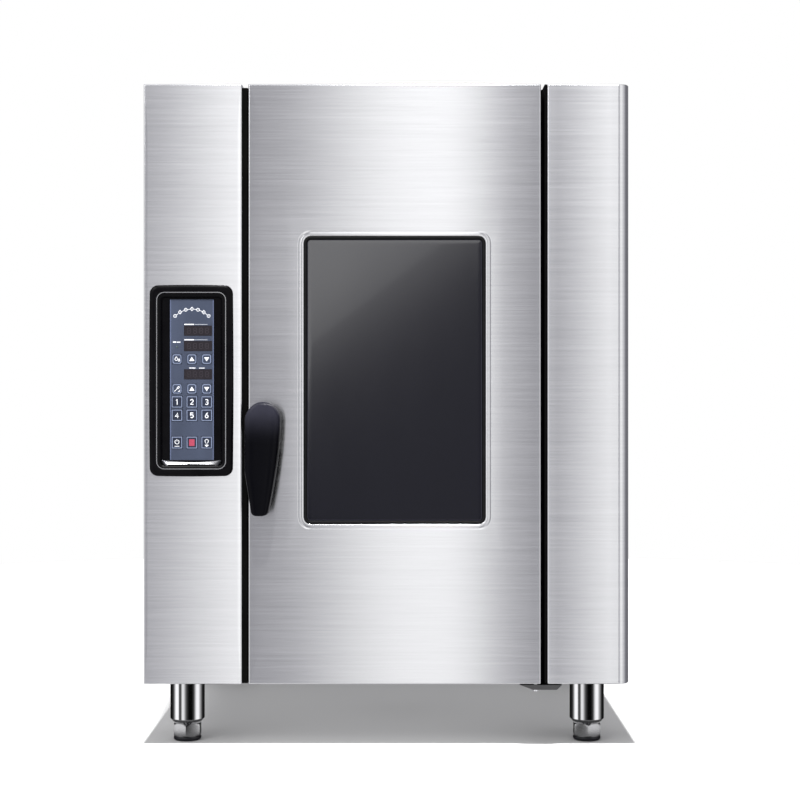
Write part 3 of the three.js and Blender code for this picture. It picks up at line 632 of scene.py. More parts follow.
def door_skin():
    """The folded front sheet: bends round its edge, a pressed groove and a turned-in lip at the window.
    Its top corner is cut away for the hinge arm."""
    wall = 1.1
    arm = Box("hinge_bracket_upper")
    edge_x, edge_z = arm.x0 - 8 * MM, arm.z1 - 6.5 * MM
    notch_x = (edge_x - DOOR.x0 - SHEET_CORNER) / (DOOR.w - 2 * SHEET_CORNER)
    notch_z = (edge_z - DOOR.z0 - SHEET_CORNER) / (DOOR.h - 2 * SHEET_CORNER)
    sides = {
        "level": sorted(even(6) + [notch_x, notch_x + 1e-4]),
        "upright": sorted(even(8) + [notch_z, notch_z + 1e-4]),
    }

    def back(x, z):
        """The depth of the sheet's edge, which is shallow where the arm passes."""
        return FRONT + 4.4 * MM if x > edge_x + 2e-5 and z > edge_z + 2e-5 else DOOR.y1

    flange = [[(x, back(x, z), z) for x, z in grown(DOOR, 0, SHEET_CORNER, **sides)]]
    bends = bend_rings(DOOR, **sides)
    edge = grown(DOOR, -BEND, SHEET_CORNER, **sides)
    rim = grown(SEAL, 11 * MM, WINDOW_CORNER, **sides)
    face = [sheet(mix_rings(edge, rim, i / 4), 0) for i in range(1, 5)]
    press = ((9.5, 0.15), (8.2, 0.5), (6.8, 0.5), (5.4, 0.12), (4.4, 0.0), (1.9, 0.0), (1.2, 0.18),
             (0.6, 0.6), (0.2, 1.3), (0.05, 2.2), (0.05, 5.0), (1.15, 5.0), (1.15, wall + 0.5),
             (11.0, wall + 0.5))
    lip = stepped(SEAL, WINDOW_CORNER, press, **sides)
    inside = [sheet(grown(DOOR, -wall * MM - BEND, SHEET_CORNER, **sides), wall)]
    flat = grown(DOOR, -wall * MM, SHEET_CORNER, **sides)
    deep = FRONT + wall * MM + BEND
    inside.append([(x, deep, z) for x, z in flat])
    inside.append([(x, max(back(x, z), deep + 1e-4), z) for x, z in flat])
    Shape().loft(flange + bends + face + lip + inside, loop=True).piece(
        "door_skin", steel_door, "door", "brushed_panel", ["door_outer_panel"], smooth=SOFT)


def door_edge_shade_films():
    """Thin black films on the door's upright edges: painted shade, which keeps the gaps beside it black."""
    for name, x0, x1 in (("door_edge_film_right", DOOR.x1 + 0.1 * MM, DOOR.x1 + 0.7 * MM),
                         ("door_edge_film_left", DOOR.x0 - 0.7 * MM, DOOR.x0 - 0.1 * MM)):
        film = Shape()
        film.box(x0, x1, FRONT + 5 * MM, DOOR.y1 - 2 * MM, DOOR.z0 + 4 * MM, DOOR.z1 - 16 * MM)
        film.piece(name, gap_shade_black, "door", "black_rubber", bevel=0.2 * MM, segments=1)


def window_seal():
    """A rubber profile round the glass: a rounded bead over the glass, and a lip on the sheet."""
    bead = ((0.0, 4.5), (0.0, 1.4), (-0.25, 0.5), (-1.0, 0.02), (-2.2, -0.28), (-3.4, -0.2), (-4.4, 0.25),
            (-5.0, 1.0), (-5.5, 1.9), (-5.7, 2.4), (-5.7, 9.0), (-12.0, 9.0), (-12.0, 12.2), (0.0, 12.2))
    rings = stepped(SEAL, WINDOW_CORNER, bead, steps=8, level=even(8), upright=even(8))
    Shape().loft(rings, loop=True).piece(
        "window_seal", black_rubber, "door", "black_rubber", ["glass_seal"])


def window_glass():
    """Tempered pane with ground edges."""
    corner = WINDOW_CORNER - 6.3 * MM
    profile = ((0.0, 8.3), (0.0, 3.2), (-0.25, 2.75), (-0.7, 2.5), (-8.0, 2.5))
    pane = stepped(GLASS, corner, profile, steps=8)
    Shape().loft(pane).piece("window_glass", door_glass, "door", "tinted_glass", ["outer_glass"])
    edge = stepped(GLASS, corner, ((-0.1, 2.9), (-0.1, 2.46), (-1.1, 2.46), (-1.1, 2.9)), steps=8)
    Shape().loft(edge, loop=True).piece("glass_ground_edge", glass_edge, "door", "tinted_glass")


# ------------------------------------------------------------------ the cabinet's front


def control_fascia_skin():
    """The folded sheet left of the door, with a turned-in opening behind the control surround."""
    sides = {"level": even(8), "upright": even(20)}
    depth = 14
    well = grown(BEZEL, -13 * MM, WINDOW_CORNER + 13 * MM, **sides)
    edge = grown(FASCIA, -BEND, SHEET_CORNER, **sides)
    inner = grown(FASCIA, -1.5 * MM, SHEET_CORNER, **sides)
    rings = [[(x, FASCIA.y1, z) for x, z in grown(FASCIA, 0, SHEET_CORNER, **sides)]]
    rings += bend_rings(FASCIA, **sides)
    rings += [sheet(mix_rings(edge, well, i / 4), 0) for i in range(1, 5)]
    rings += [sheet(well, depth), sheet(inner, depth), [(x, FASCIA.y1, z) for x, z in inner]]
    Shape().loft(rings, loop=True).piece(
        "control_fascia_skin", steel_left, "cabinet", "brushed_panel", ["control_fascia"], smooth=SOFT)


def fascia_outline(inset, corner, small):
    """(x, y) points of the right fascia, seen from above, inset all round but at the back."""
    x0, x1, y0, y1 = SIDE.x0 + inset, SIDE.x1 - inset, SIDE.y0 + inset, SIDE.y1
    folded, rolled = 4, 12
    points = [(x0, y1)]
    for i in range(folded + 1):
        a = math.pi / 2 * i / folded
        points.append((x0 + small * (1 - math.cos(a)), y0 + small * (1 - math.sin(a))))
    span = (x1 - corner) - (x0 + small)
    points += [(x0 + small + span * f, y0) for f in even(8)]
    for i in range(rolled + 1):
        a = math.pi / 2 * i / rolled
        points.append((x1 - corner + corner * math.sin(a), y0 + corner * (1 - math.cos(a))))
    points.append((x1, y1))
    return points


def right_fascia_skin():
    """Rolled round its outer corner and folded at its other edges."""
    corner = 20 * MM
    bends = [(reach, fascia_outline(inset, corner - inset, BEND - inset * 0.6))
             for inset, reach in quarter(4)]
    rings = [[(x, y, SIDE.z0 + reach) for x, y in flat] for reach, flat in reversed(bends)]
    middle = [SIDE.z0 + SIDE.h * f for f in even(10)]
    rings += [[(x, y, z) for x, y in fascia_outline(0, corner, BEND)] for z in middle]
    rings += [[(x, y, SIDE.z1 - reach) for x, y in flat] for reach, flat in bends]
    Shape().loft(rings).piece(
        "right_fascia_skin", steel_right, "cabinet", "brushed_panel", ["right_fascia"], smooth=SOFT)


def gap_shade_seals():
    """Black rubber profiles in the gaps beside the door, whose near-black, dull finish is painted shade
    that keeps the gaps black.
    """
    runs = (  # name, left and right edge, then in mm: front, back, and how far below the door's top
        ("gap_seal_left", FASCIA.x1 + 0.05 * MM, DOOR.x0 - 1.2 * MM, 6, 60, 6),
        ("gap_seal_right", DOOR.x1 + 6.4 * MM, SIDE.x0 - 0.05 * MM, 2.2, 60, 0.5),
        ("gap_seal_right_deep", DOOR.x1 + 0.7 * MM, SIDE.x0 - 0.05 * MM, 58.2, 63.8, 0.5),
    )
    for name, x0, x1, front, back, drop in runs:
        lip, nose = min(1.2 * MM, (x1 - x0) / 3), front - 0.4
        low, high = DOOR.z0 + 1 * MM, DOOR.z1 - drop * MM
        profile = ((x0, back), (x0, front), (x0 + lip, nose), (x1 - lip, nose), (x1, front + 0.8),
                   (x1, back))
        rings = [[(x, FRONT + y * MM, z) for x, y in profile] for z in (low, high)]
        Shape().loft(rings).piece(name, gap_shade_black, "cabinet", "black_rubber", bevel=0.3 * MM)


PANEL_SIDES = {"steps": 6, "level": even(8), "upright": even(12)}


def bezel_ring(by):
    """The bezel's outline, whose sides bow out a little, by metres outside it."""
    bow = 1.1 * MM
    half_w, half_h = BEZEL.w / 2 - bow + by, BEZEL.h / 2 - bow + by
    flat = frame_ring(BEZEL.x - half_w, BEZEL.x + half_w, BEZEL.z - half_h, BEZEL.z + half_h,
                      max(14 * MM + by, 1 * MM), **PANEL_SIDES)
    out = []
    for x, z in flat:
        u, v = (x - BEZEL.x) / half_w, (z - BEZEL.z) / half_h
        out.append((x + bow * u * (1 - v * v), z + bow * v * (1 - u * u)))
    return out


def well_ring(inset, radius):
    """The outline of the panel inside the surround's raised rim."""
    half_w, half_h = 59 * MM - inset, 153 * MM - inset
    return frame_ring(BEZEL.x - half_w, BEZEL.x + half_w, BEZEL.z - half_h, BEZEL.z + half_h,
                      max(radius, 0.5 * MM), **PANEL_SIDES)


def control_panel_frame():
    """A moulded surround with soft shoulders, a step down to the ring, and the recess for the keypad."""
    shoulder = ((0.0, -0.1), (0.0, -1.4), (-0.6, -2.6), (-2.0, -3.7), (-4.2, -4.5), (-6.6, -4.9),
                (-9.0, -5.0), (-11.0, -4.9))
    recess = ((-2.2, -4.6), (-1.6, -4.3), (-0.1, -4.3), (0.6, -4.2), (3.4, -3.2), (5.8, -1.2),
              (7.0, 0.6), (7.4, 1.2), (8.0, 2.5))
    hole = grown(KEYPAD, 0.3 * MM, 1.7 * MM, **PANEL_SIDES)
    outer = well_ring(0.2 * MM, WINDOW_CORNER)
    rings = [sheet(bezel_ring(by * MM), depth) for by, depth in shoulder]
    rings += [sheet(well_ring(inset * MM, (12 - inset) * MM), depth) for inset, depth in recess]
    rings += [sheet(hole, 2.5), sheet(hole, 11.8), sheet(outer, 11.8), sheet(outer, -0.1)]
    Shape().loft(rings, loop=True).piece(
        "control_surround", black_bezel, "cabinet", "black_plastic", ["control_bezel"],
        smooth=math.radians(40))
    profile = ((-2.1, -4.35), (-1.9, -4.95), (-1.2, -5.0), (-0.5, -4.95), (-0.2, -4.35))
    trim = [sheet(well_ring(inset * MM, (12 - inset) * MM), depth) for inset, depth in profile]
    Shape().loft(trim, loop=True).piece("bezel_trim_ring", steel_trim, "cabinet", "polished_steel")


def bezel_sill():
    """The bright sloping crescent below the keypad, which follows the trim ring's lower corners."""
    half, corner = 54 * MM, 22 * MM
    low, high, rise = BEZEL.z - 150.6 * MM, BEZEL.z - 143.1 * MM, 12.1 * MM
    rings = []
    for i in range(37):
        u = math.sin(math.pi / 2 * (-1 + 2 * i / 36))
        across = half * u
        over = max(abs(across) - (half - corner), 0) / corner
        bottom = low + rise * (1 - math.sqrt(max(1 - over * over, 0)))
        top = max(high + 4.6 * MM * u * u, bottom + 0.15 * MM)
        x = BEZEL.x + across
        rings.append([(x, FRONT + 2.3 * MM, top), (x, FRONT + 1.4 * MM, top - 0.3 * (top - bottom)),
                      (x, FRONT - 1.0 * MM, top - 0.75 * (top - bottom)), (x, FRONT - 3.2 * MM, bottom),
                      (x, FRONT + 2.3 * MM, bottom)])
    Shape().loft(rings).piece("bezel_sill", sill_chrome, "cabinet", "polished_steel")


# ------------------------------------------------------------------ the keypad


INK = (KEYPAD.y0 - 0.05 * MM, KEYPAD.y0 + 0.05 * MM)  # front and back of printed marks


def bar(shape, x, z, left, right, low, high):
    """A printed bar, in mm from a point of the film."""
    shape.box(x + left * MM, x + right * MM, *INK, z + low * MM, z + high * MM)


def keypad_prints():
    """The film's light edge lines, bars for labels, an arc of linked marks, and the lamp's lens."""
    lines = Shape()
    for x in (KEYPAD.x0 + 1.0 * MM, KEYPAD.x1 - 1.6 * MM):
        lines.box(x, x + 0.8 * MM, *INK, KEYPAD.z0 + 0.2 * MM, KEYPAD.z1 - 0.2 * MM)
    lines.piece("keypad_edge_line", film_edge, "cabinet", "keypad_film")
    labels, notes = Shape(), Shape()
    upper, middle, lower = display_places()
    for x0, _, _, z1 in (upper, middle):
        bar(labels, x0, z1, 0.3, 17.5, 1.4, 3.2)
        bar(notes, x0, z1, 18.5, 41, 1.8, 2.7)
    bar(labels, lower[0], lower[3], 9, 20, 1.6, 3.1)
    bar(labels, lower[0], lower[3], 26, 36, 1.6, 2.8)
    x, z = KEYPAD.x - 26 * MM, KEYPAD.z1 - 83 * MM
    bar(labels, x, z, -7, -1.5, 7.4, 9.6)
    bar(labels, x, z, -0.5, 6, 7.6, 9.2)
    labels.piece("display_labels", ink_white, "cabinet", "keypad_film")
    notes.piece("display_notes", ink_grey, "cabinet", "keypad_film")
    profile = ((0, -0.75), (0.8, -0.7), (1.5, -0.4), (1.8, 0.0), (1.8, 0.3), (0, 0.3))
    Shape().lathe(profile, (x, KEYPAD.y0, z), "y", 24).piece(
        "heating_lamp_lens", led_lens, "cabinet", "keypad_film")
    keypad_arc()


def keypad_arc():
    """Seven linked marks on an arc along the top of the film."""
    radius, top = 41.1 * MM, KEYPAD.z1 - 16.5 * MM
    marks = Shape()
    turns = [135.5 - 91 * i / 6 for i in range(7)]
    places = [arc(KEYPAD.x, top - radius, radius, a, a, 1)[0] for a in turns]
    wide, tall, line = 2.9 * MM, 3.3 * MM, 0.9 * MM
    for i, (x, z) in enumerate(places):
        diamond = [(x - wide, z), (x, z + tall), (x + wide, z), (x, z - tall)]
        marks.ribbon(diamond if i % 2 else arc(x, z, 2.6 * MM, 0, 340, 14), line, *INK, closed=True)
        marks.ribbon(arc(x, z, 0.5 * MM, 0, 300, 5), 0.5 * MM, *INK, closed=True)
    for a, b in zip(places, places[1:]):
        marks.ribbon(mix_rings([a], [b], 0.3) + mix_rings([a], [b], 0.7), 0.8 * MM, *INK)
    marks.piece("keypad_marks", ink_white, "cabinet", "keypad_film")


def display_places():
    """(x0, x1, z0, z1) of the three display windows, from the keypad's own place."""
    x, half_w, half_h = KEYPAD.x + 10.7 * MM, 24.3 * MM, 8.75 * MM
    return [(x - half_w, x + half_w, KEYPAD.z1 - d * MM - half_h, KEYPAD.z1 - d * MM + half_h)
            for d in (54.6, 81.5, 131.0)]


SEGMENTS = (  # ends of a digit's seven strokes, in half widths and half heights
    ((-1, 0), (-1, 1)), ((1, 0), (1, 1)), ((-1, -1), (-1, 0)), ((1, -1), (1, 0)),
    ((-1, 1), (1, 1)), ((-1, 0), (1, 0)), ((-1, -1), (1, -1)),
)


def displays():
    """Three dark windows, each with four unlit seven-segment digits."""
    wide, tall, pitch = 2.7 * MM, 4.6 * MM, 10.5 * MM
    for number, (x0, x1, z0, z1) in enumerate(display_places(), 1):
        rings = []
        for inset, depth in ((0.0, 0.45), (0.0, 0.12), (0.25, 0.02), (1.0, 0.0)):
            flat = frame_ring(x0 + inset * MM, x1 - inset * MM, z0 + inset * MM, z1 - inset * MM, 0.8 * MM)
            rings.append([(x, KEYPAD.y0 + depth * MM, z) for x, z in flat])
        Shape().loft(rings).piece(f"display_window_{number}", dark_display, "cabinet", "display_window")
        digits = Shape()
        for i in range(4):
            cx, cz = (x0 + x1) / 2 + (i - 1.5) * pitch, (z0 + z1) / 2
            for (ax, az), (bx, bz) in SEGMENTS:
                a, b = [(cx + ax * wide, cz + az * tall)], [(cx + bx * wide, cz + bz * tall)]
                stroke = mix_rings(a, b, 0.1) + mix_rings(a, b, 0.9)
                digits.ribbon(stroke, 0.9 * MM, KEYPAD.y0 - 0.02 * MM, KEYPAD.y0 + 0.05 * MM)
        digits.piece(f"display_segments_{number}", unlit_segments, "cabinet", "display_window")


UP = [(-4.5, -3.2), (4.5, -3.2), (0, 4.0)]
DOWN = [(-4.5, 3.2), (0, -4.0), (4.5, 3.2)]
ICONS = {  # each symbol's lines and filled outlines, as (x, z) points in mm from the key's middle
    "up": ([], [UP]),
    "down": ([], [DOWN]),
    "moisture": ([
        [(-1.2, 4.8)] + arc(-1.2, -0.2, 2.3, 35, -215, 14) + [(-1.2, 4.8)],
        [(3.4, 1.4)] + arc(3.4, -2.2, 1.4, 35, -215, 10) + [(3.4, 1.4)]], []),
    "core_probe": ([
        [(-4.4, -4.4), (0.8, 0.8)],
        [(0.2, 1.8), (1.8, 0.2), (4.4, 2.8), (2.8, 4.4), (0.2, 1.8)],
        [(1.8, -4.4), (4.4, -4.4), (4.4, -1.8)]], []),
    "power": ([arc(0, 1.2, 3.6, 125, 415, 16), [(0, 2.0), (0, 6.0)], [(-4.2, -6.4), (4.2, -6.4)]], []),
    "lamp": ([
        [(-1.5, -1.0)] + arc(0, 2.6, 3.0, 235, -55, 14) + [(1.5, -1.0)],
        [(-1.6, -2.6), (1.6, -2.6)]], [[(-3.8, -4.2), (0, -7.6), (3.8, -4.2)]]),
    "1": ([[(-1.8, 2.6), (0.4, 4.4), (0.4, -4.6)]], []),
    "2": ([arc(0, 2.0, 2.4, 170, -40, 10) + [(-2.5, -4.1), (2.9, -4.1)]], []),
    "3": ([arc(0, 2.2, 2.2, 150, -90, 10) + arc(0, -2.1, 2.4, 90, -150, 10)], []),
    "4": ([[(1.2, -4.6), (1.2, 4.2), (-2.8, -1.8), (3.0, -1.8)]], []),
    "5": ([[(2.5, 4.1), (-1.9, 4.1), (-2.2, 0.4)] + arc(0, -1.6, 2.6, 140, -145, 12)], []),
    "6": ([[(1.8, 4.3), (-0.9, 2.1), (-2.3, -0.6)] + arc(0, -1.8, 2.5, 150, 480, 14)], []),
    "stop": ([], []),
}
KEY_PROFILE = ((0.0, 2.6), (0.0, 0.7), (-0.15, 0.3), (-0.5, 0.07), (-1.1, 0.0), (-3.0, 0.0))


def key_caps():
    """Each key is a raised pad of film with a printed frame and symbol."""
    for node in [name for name in frame["nodes"] if name.startswith("key_")]:
        name, body = node[4:], "button_" + node[4:]
        box = Box(node)
        stop, program = name == "stop", name.startswith("program_")
        square = program or name in ("power", "stop", "lamp")
        slot = "key_red" if stop else "key_film"
        rings = stepped(box, 1.5 * MM, KEY_PROFILE, box.y0)
        Shape().loft(rings).piece(node + "_cap", key_dark if square else key_film, body, slot, [node])
        ink = (box.y0 - 0.04 * MM, box.y0 + 0.04 * MM)
        outline = grown(box, -1.4 * MM, (1.6 if square else 4.4) * MM, steps=5)
        Shape().ribbon(outline, 1.15 * MM, *ink, closed=True).piece(
            node + "_frame", ink_frame, body, "key_film")
        lines, fills = ICONS[name] if name in ICONS else ICONS[name.split("_")[-1]]
        mark, width = Shape(), (1.5 if program else 1.0) * MM
        for line in lines:
            mark.ribbon([(box.x + x * MM, box.z + z * MM) for x, z in line], width, *ink)
        for fill in fills:
            mark.prism([(box.x + x * MM, box.z + z * MM) for x, z in fill], *ink)
        if stop:
            mark.prism(grown(box, -5.0 * MM, 6.0 * MM), *ink)
        mark.piece(node + "_symbol", ink_red if stop else ink_white, body, slot)


# ------------------------------------------------------------------ handle


def handle_sides(z):
    """(left, right) edges of the lever's front face at a height: a round head, then a grip that narrows
    from the right, near its end also from the left, and has round corners."""
    head, corner = 28.5 * MM, 7 * MM
    narrow_right, narrow_left, narrow_from = 19 * MM, 11.5 * MM, 0.55
    middle, pivot = HANDLE.x0 + head, HANDLE.z1 - head
    if z > pivot:
        half = math.sqrt(max(head ** 2 - (z - pivot) ** 2, 0))
        return middle - half, middle + half
    t = (pivot - z) / (pivot - HANDLE.z0)
    left = HANDLE.x0 + narrow_left * max(t - narrow_from, 0) / (1 - narrow_from)
    right = HANDLE.x0 + 2 * head - narrow_right * t ** 1.7
    low = z - HANDLE.z0
    if low < corner:
        pull = corner - math.sqrt(max(corner ** 2 - (corner - low) ** 2, 0))
        return left + pull, right - pull
    return left, right


def lever():
    """The grip: a flat face with rounded edges, which leans back at the top and widens to the right
    behind. Its rings are superellipses, closer together towards the ends."""
    power, sides, levels = 4.2, 48, 56
    low, high = HANDLE.z0, HANDLE.z1
    rings = []
    for i in range(levels + 1):
        z = low + (high - low) * (0.5 - 0.5 * math.cos(math.pi * i / levels))
        left, right = handle_sides(min(max(z, low + 0.02 * MM), high - 0.02 * MM))
        share = (z - low) / (high - low)
        front = HANDLE.y0 + 4.5 * MM * max(share - 0.5, 0) ** 2 * 4 + 1.0 * MM * (1 - share)
        back = HANDLE.y1 - 2.5 * MM * (1 - share)
        width, depth = (right - left) / 2, (back - front) / 2
        depth_now = depth * (0.45 + 0.55 * min(1.0, width / (11 * MM)) ** 0.5)
        cx, cy = (left + right) / 2, (front + back) / 2
        lean = 6.5 * MM * min(0.45 + share, 1.0)
        ring = []
        for k in range(sides):
            a = math.tau * k / sides
            c = math.copysign(abs(math.cos(a)) ** (2 / power), math.cos(a))
            d = math.copysign(abs(math.sin(a)) ** (2 / power), math.sin(a))
            ring.append((cx + width * c + lean * (d + 1) / 2 * max(c, 0), cy + depth_now * d, z))
        rings.append(ring)
    Shape().loft(rings).piece("door_lever", black_handle, "handle", "black_plastic", ["door_handle"],
                              smooth=math.radians(60))


def lever_boss():
    """The turned boss between lever and door, its rosette, and the shaft to the crossbar."""
    centre = (HANDLE.x0 + 27 * MM, FRONT, SPINDLE.z)
    boss = ((0, -36.2), (20.5, -36.2), (21.5, -35.4), (21.8, -30), (22.5, -16), (24.2, -9), (26.5, -6.5),
            (28.3, -5.6), (29.2, -4.6), (29.4, -1.0), (29.0, -0.3), (0, -0.3))
    shaft = ((0, -2), (8, -2), (8, 58.6), (7.4, 59), (5, 59.4), (5, 71), (0, 71))
    Shape().lathe(boss, centre, "y", 64).piece("lever_boss", black_handle, "handle", "black_plastic")
    Shape().lathe(shaft, centre, "y", 32).piece(
        "latch_shaft", steel_polished, "handle", "polished_steel", ["latch_spindle"])
    x, y, z = centre[0], SPINDLE.y1, centre[2]
    Shape().box(x - 15 * MM, x + 15 * MM, y - 8 * MM, y, z - 5 * MM, z + 5 * MM).piece(
        "latch_crossbar", steel_polished, "handle", "polished_steel", bevel=1.4 * MM, segments=3)


# ------------------------------------------------------------------ legs


LEG_NAMES = ("front_left", "rear_left", "front_right", "rear_right")


def legs():
    """Round polished tubes, chamfered at the foot."""
    for name in LEG_NAMES:
        box = Box("leg_" + name)
        radius, top = box.w / 2 / MM, box.h / MM
        profile = ((8, 0.2), (radius - 5.5, 0.0), (radius - 4.6, 0.3), (radius - 0.9, 4.6),
                   (radius - 0.2, 5.4), (radius, 6.4), (radius, top - 3), (radius, top - 0.6),
                   (radius - 0.5, top), (8, top))
        tube = Shape().lathe(profile, (box.x, box.y, box.z0), sides=64)
        tube.piece(f"leg_tube_{name}", chrome, "cabinet", "polished_steel", ["leg_" + name])
        foot = Box("levelling_foot_" + name)
        levelling_foot(name, foot.x, foot.y)


def levelling_foot(name, x, y):
    """A chamfered hexagon nut on a round pad, with its threaded stud."""
    body = "foot_" + name
    across, sides = 23.4, 72
    chamfers = ((21.5, 7.6), (24.6, 7.9), (26.2, 9.4), (27.0, 11.2), (27.0, 27.0), (25.8, 29.6),
                (24.2, 31.0), (21.5, 31.2))
    hexagon = []
    for clip, z in chamfers:
        ring = []
        for k in range(sides):
            a = math.tau * k / sides
            flat = across / math.cos((a + math.pi / 6) % (math.pi / 3) - math.pi / 6)
            r = min(flat, clip) * MM
            ring.append((x + r * math.cos(a), y + r * math.sin(a), z * MM))
        hexagon.append(ring)
    Shape().loft(hexagon).piece(
        f"foot_nut_{name}", worn_chrome, body, "polished_steel", ["levelling_foot_" + name],
        smooth=math.radians(24))
    pad = ((0, 0), (19, 0), (22.5, 0.5), (24.4, 2.0), (25, 4.2), (24.6, 6.4), (23.4, 7.7), (0, 7.7))
    Shape().lathe(pad, (x, y, 0)).piece(f"foot_pad_{name}", black_satin, body, "polished_steel")
    start, turns = 31, 21
    thread = [(7.65 if i % 2 else 6.8, start + i) for i in range(2 * turns + 1)]
    stud = [(0, start)] + thread + [(0, start + 2 * turns)]
    Shape().lathe(stud, (x, y, 0), sides=24).piece(
        f"foot_stud_{name}", steel_polished, body, "polished_steel")


# ------------------------------------------------------------------ back, roof and inside


def screw_heads(name, places, axis, body="cabinet", radius=4.2):
    """Domed screw heads with a crossed recess, which face along the axis."""
    dome = ((0, -0.6), (1, -0.6), (1, 0.35), (0.93, 0.9), (0.72, 1.5), (0.4, 1.85), (0.16, 1.9), (0.1, 1.1),
            (0, 1.1))
    profile = [(radius * share, height) for share, height in dome]
    heads, marks = Shape(), Shape()
    half, thin, low, high = radius * 0.5 * MM, 0.55 * MM, 1.5 * MM, 2.0 * MM
    for x, y, z in places:
        heads.lathe(profile, (x, y, z), axis, 20)
        for u, v in ((half, thin), (thin, half)):
            if axis == "y":
                marks.box(x - u, x + u, y + low, y + high, z - v, z + v)
            else:
                marks.box(x - u, x + u, y - v, y + v, z + low, z + high)
    heads.piece(name, steel_polished, body, "polished_steel")
    marks.piece(name + "_recesses", black_satin, body, "polished_steel")


def louvre_hoods():
    """A pressed hood over each slot of the rear panel."""
    rear = Box("rear_panel")
    first, pitch, count, half = 919 * MM, 17 * MM, 9, 90 * MM
    profile = ((0.0, 9.4), (1.4, 9.2), (3.2, 7.6), (4.6, 4.6), (5.2, 1.2), (5.2, 0.2), (4.2, 0.2),
               (3.6, 4.0), (2.4, 6.6), (0.9, 7.9), (0.0, 8.0))
    steps = 14
    hoods = Shape()
    for middle in (-230 * MM, 230 * MM):
        for i in range(count):
            z = first + i * pitch
            rings = []
            for k in range(steps + 1):
                u = math.sin(math.pi / 2 * (-1 + 2 * k / steps))
                rise = max(1 - abs(u) ** 9, 0.02) * MM
                x, y = middle + (half + 3 * MM) * u, rear.y1 - 0.1 * MM
                rings.append([(x, y + out * rise, z + up * MM) for out, up in profile])
            hoods.loft(rings)
    hoods.piece("rear_louvre_hoods", steel_sheet, "cabinet", "plain_sheet", smooth=math.radians(60))


def rear_details():
    """Screws round the rear panel, a service cover, and the water inlet's flange."""
    rear, inlet = Box("rear_panel"), Box("water_inlet_valve")
    margin = 14 * MM
    places = []
    for f in (0.03, 0.27, 0.5, 0.73, 0.97):
        places += [(rear.x0 + rear.w * f, rear.y1, z) for z in (rear.z0 + margin, rear.z1 - margin)]
    for f in (0.2, 0.4, 0.6, 0.8):
        places += [(x, rear.y1, rear.z0 + rear.h * f) for x in (rear.x0 + margin, rear.x1 - margin)]
    x0, x1, z0, z1 = -140 * MM, 200 * MM, rear.z0 + 150 * MM, rear.z0 + 480 * MM
    rings = []
    for inset, out in ((0, 0.0), (0, 0.9), (0.4, 1.3), (14, 1.3), (17, 2.2), (22, 4.4), (24, 4.8)):
        flat = frame_ring(x0 + inset * MM, x1 - inset * MM, z0 + inset * MM, z1 - inset * MM, margin)
        rings.append([(x, rear.y1 + out * MM, z) for x, z in flat])
    Shape().loft(rings).piece("rear_service_cover", steel_sheet, "cabinet", "plain_sheet")
    edge, thick = 7 * MM, 1.3 * MM
    for x in (x0 + edge, (x0 + x1) / 2, x1 - edge):
        places += [(x, rear.y1 + thick, z) for z in (z0 + edge, z1 - edge)]
    screw_heads("rear_screws", places, "y")
    washer = ((13.8, -0.1), (24, -0.1), (24, 1.0), (23.2, 1.6), (16.0, 1.6), (15.2, 3.2), (13.8, 3.4))
    Shape().lathe(washer, (inlet.x, rear.y1, inlet.z), "y", 40, loop=True).piece(
        "inlet_flange", steel_polished, "cabinet", "polished_steel")


def flue_details():
    """The exhaust stack's screwed collar on the roof and its rolled rim."""
    stack, roof = Box("exhaust_stack"), Box("top_cover")
    r = stack.w / 2 / MM
    collar = ((r + 0.1, 0.05), (r + 20, 0.05), (r + 20, 1.0), (r + 19, 1.5), (r + 5, 1.6), (r + 2, 3.0),
              (r + 1.1, 6.5), (r + 0.1, 6.5))
    rim = ((r + 0.05, -3.2), (r + 1.3, -2.9), (r + 1.9, -1.7), (r + 1.3, -0.5), (r + 0.05, -0.1))
    for name, z, profile in (("flue_collar", roof.z1, collar), ("flue_rolled_rim", stack.z1, rim)):
        Shape().lathe(profile, (stack.x, stack.y, z), loop=True).piece(
            name, steel_polished, "cabinet", "polished_steel")
    out = (r + 12) * MM
    turns = [math.pi * (0.25 + 0.5 * k) for k in range(4)]
    places = [(stack.x + out * math.cos(a), stack.y + out * math.sin(a), roof.z1 + 1.5 * MM) for a in turns]
    screw_heads("flue_screws", places, "z", radius=3.2)


def cavity_details():
    """Knobs that hold the baffle, a strainer over the drain, and a dome over the lamp."""
    baffle, drain, lamp = Box("fan_baffle"), Box("drain_pipe"), Box("cavity_lamp")
    knob = ((0, 0.05), (5, 0.05), (5, 3), (9, 3.6), (9.6, 5), (9.6, 8), (8.6, 9.4), (0, 9.6))
    knobs = Shape()
    for y in (baffle.y0 + 28 * MM, baffle.y1 - 28 * MM):
        for z in (baffle.z0 + 60 * MM, baffle.z1 - 60 * MM):
            knobs.lathe(knob, (baffle.x1, y, z), "x", 24)
    knobs.piece("baffle_knobs", steel_polished, "cabinet", "polished_steel")
    ring = ((20, 0.1), (34, 0.1), (34, 0.8), (31, 1.6), (22, 1.6), (20, 0.8))
    strainer = Shape().lathe(ring, (drain.x, drain.y, drain.z1), sides=40, loop=True)
    pitch, half = 7, 1.2 * MM
    for i in range(-2, 3):
        x, reach = drain.x + i * pitch * MM, math.sqrt(20.6 ** 2 - (i * pitch) ** 2) * MM
        strainer.box(x - half, x + half, drain.y - reach, drain.y + reach,
                     drain.z1 + 0.2 * MM, drain.z1 + 1.1 * MM)
    strainer.piece("drain_strainer", steel_polished, "cabinet", "polished_steel")
    size = lamp.w / 60 / MM
    dome = ((0, 0.05), (24, 0.05), (24, 4), (22, 9), (17.5, 13), (10, 15.6), (0, 16.4))
    dome = [(r * size, -h) for r, h in dome]
    Shape().lathe(dome, (lamp.x, lamp.y, lamp.z0), sides=40).piece(
        "cavity_lamp_dome", lamp_glass, "cabinet", "clear_glass")


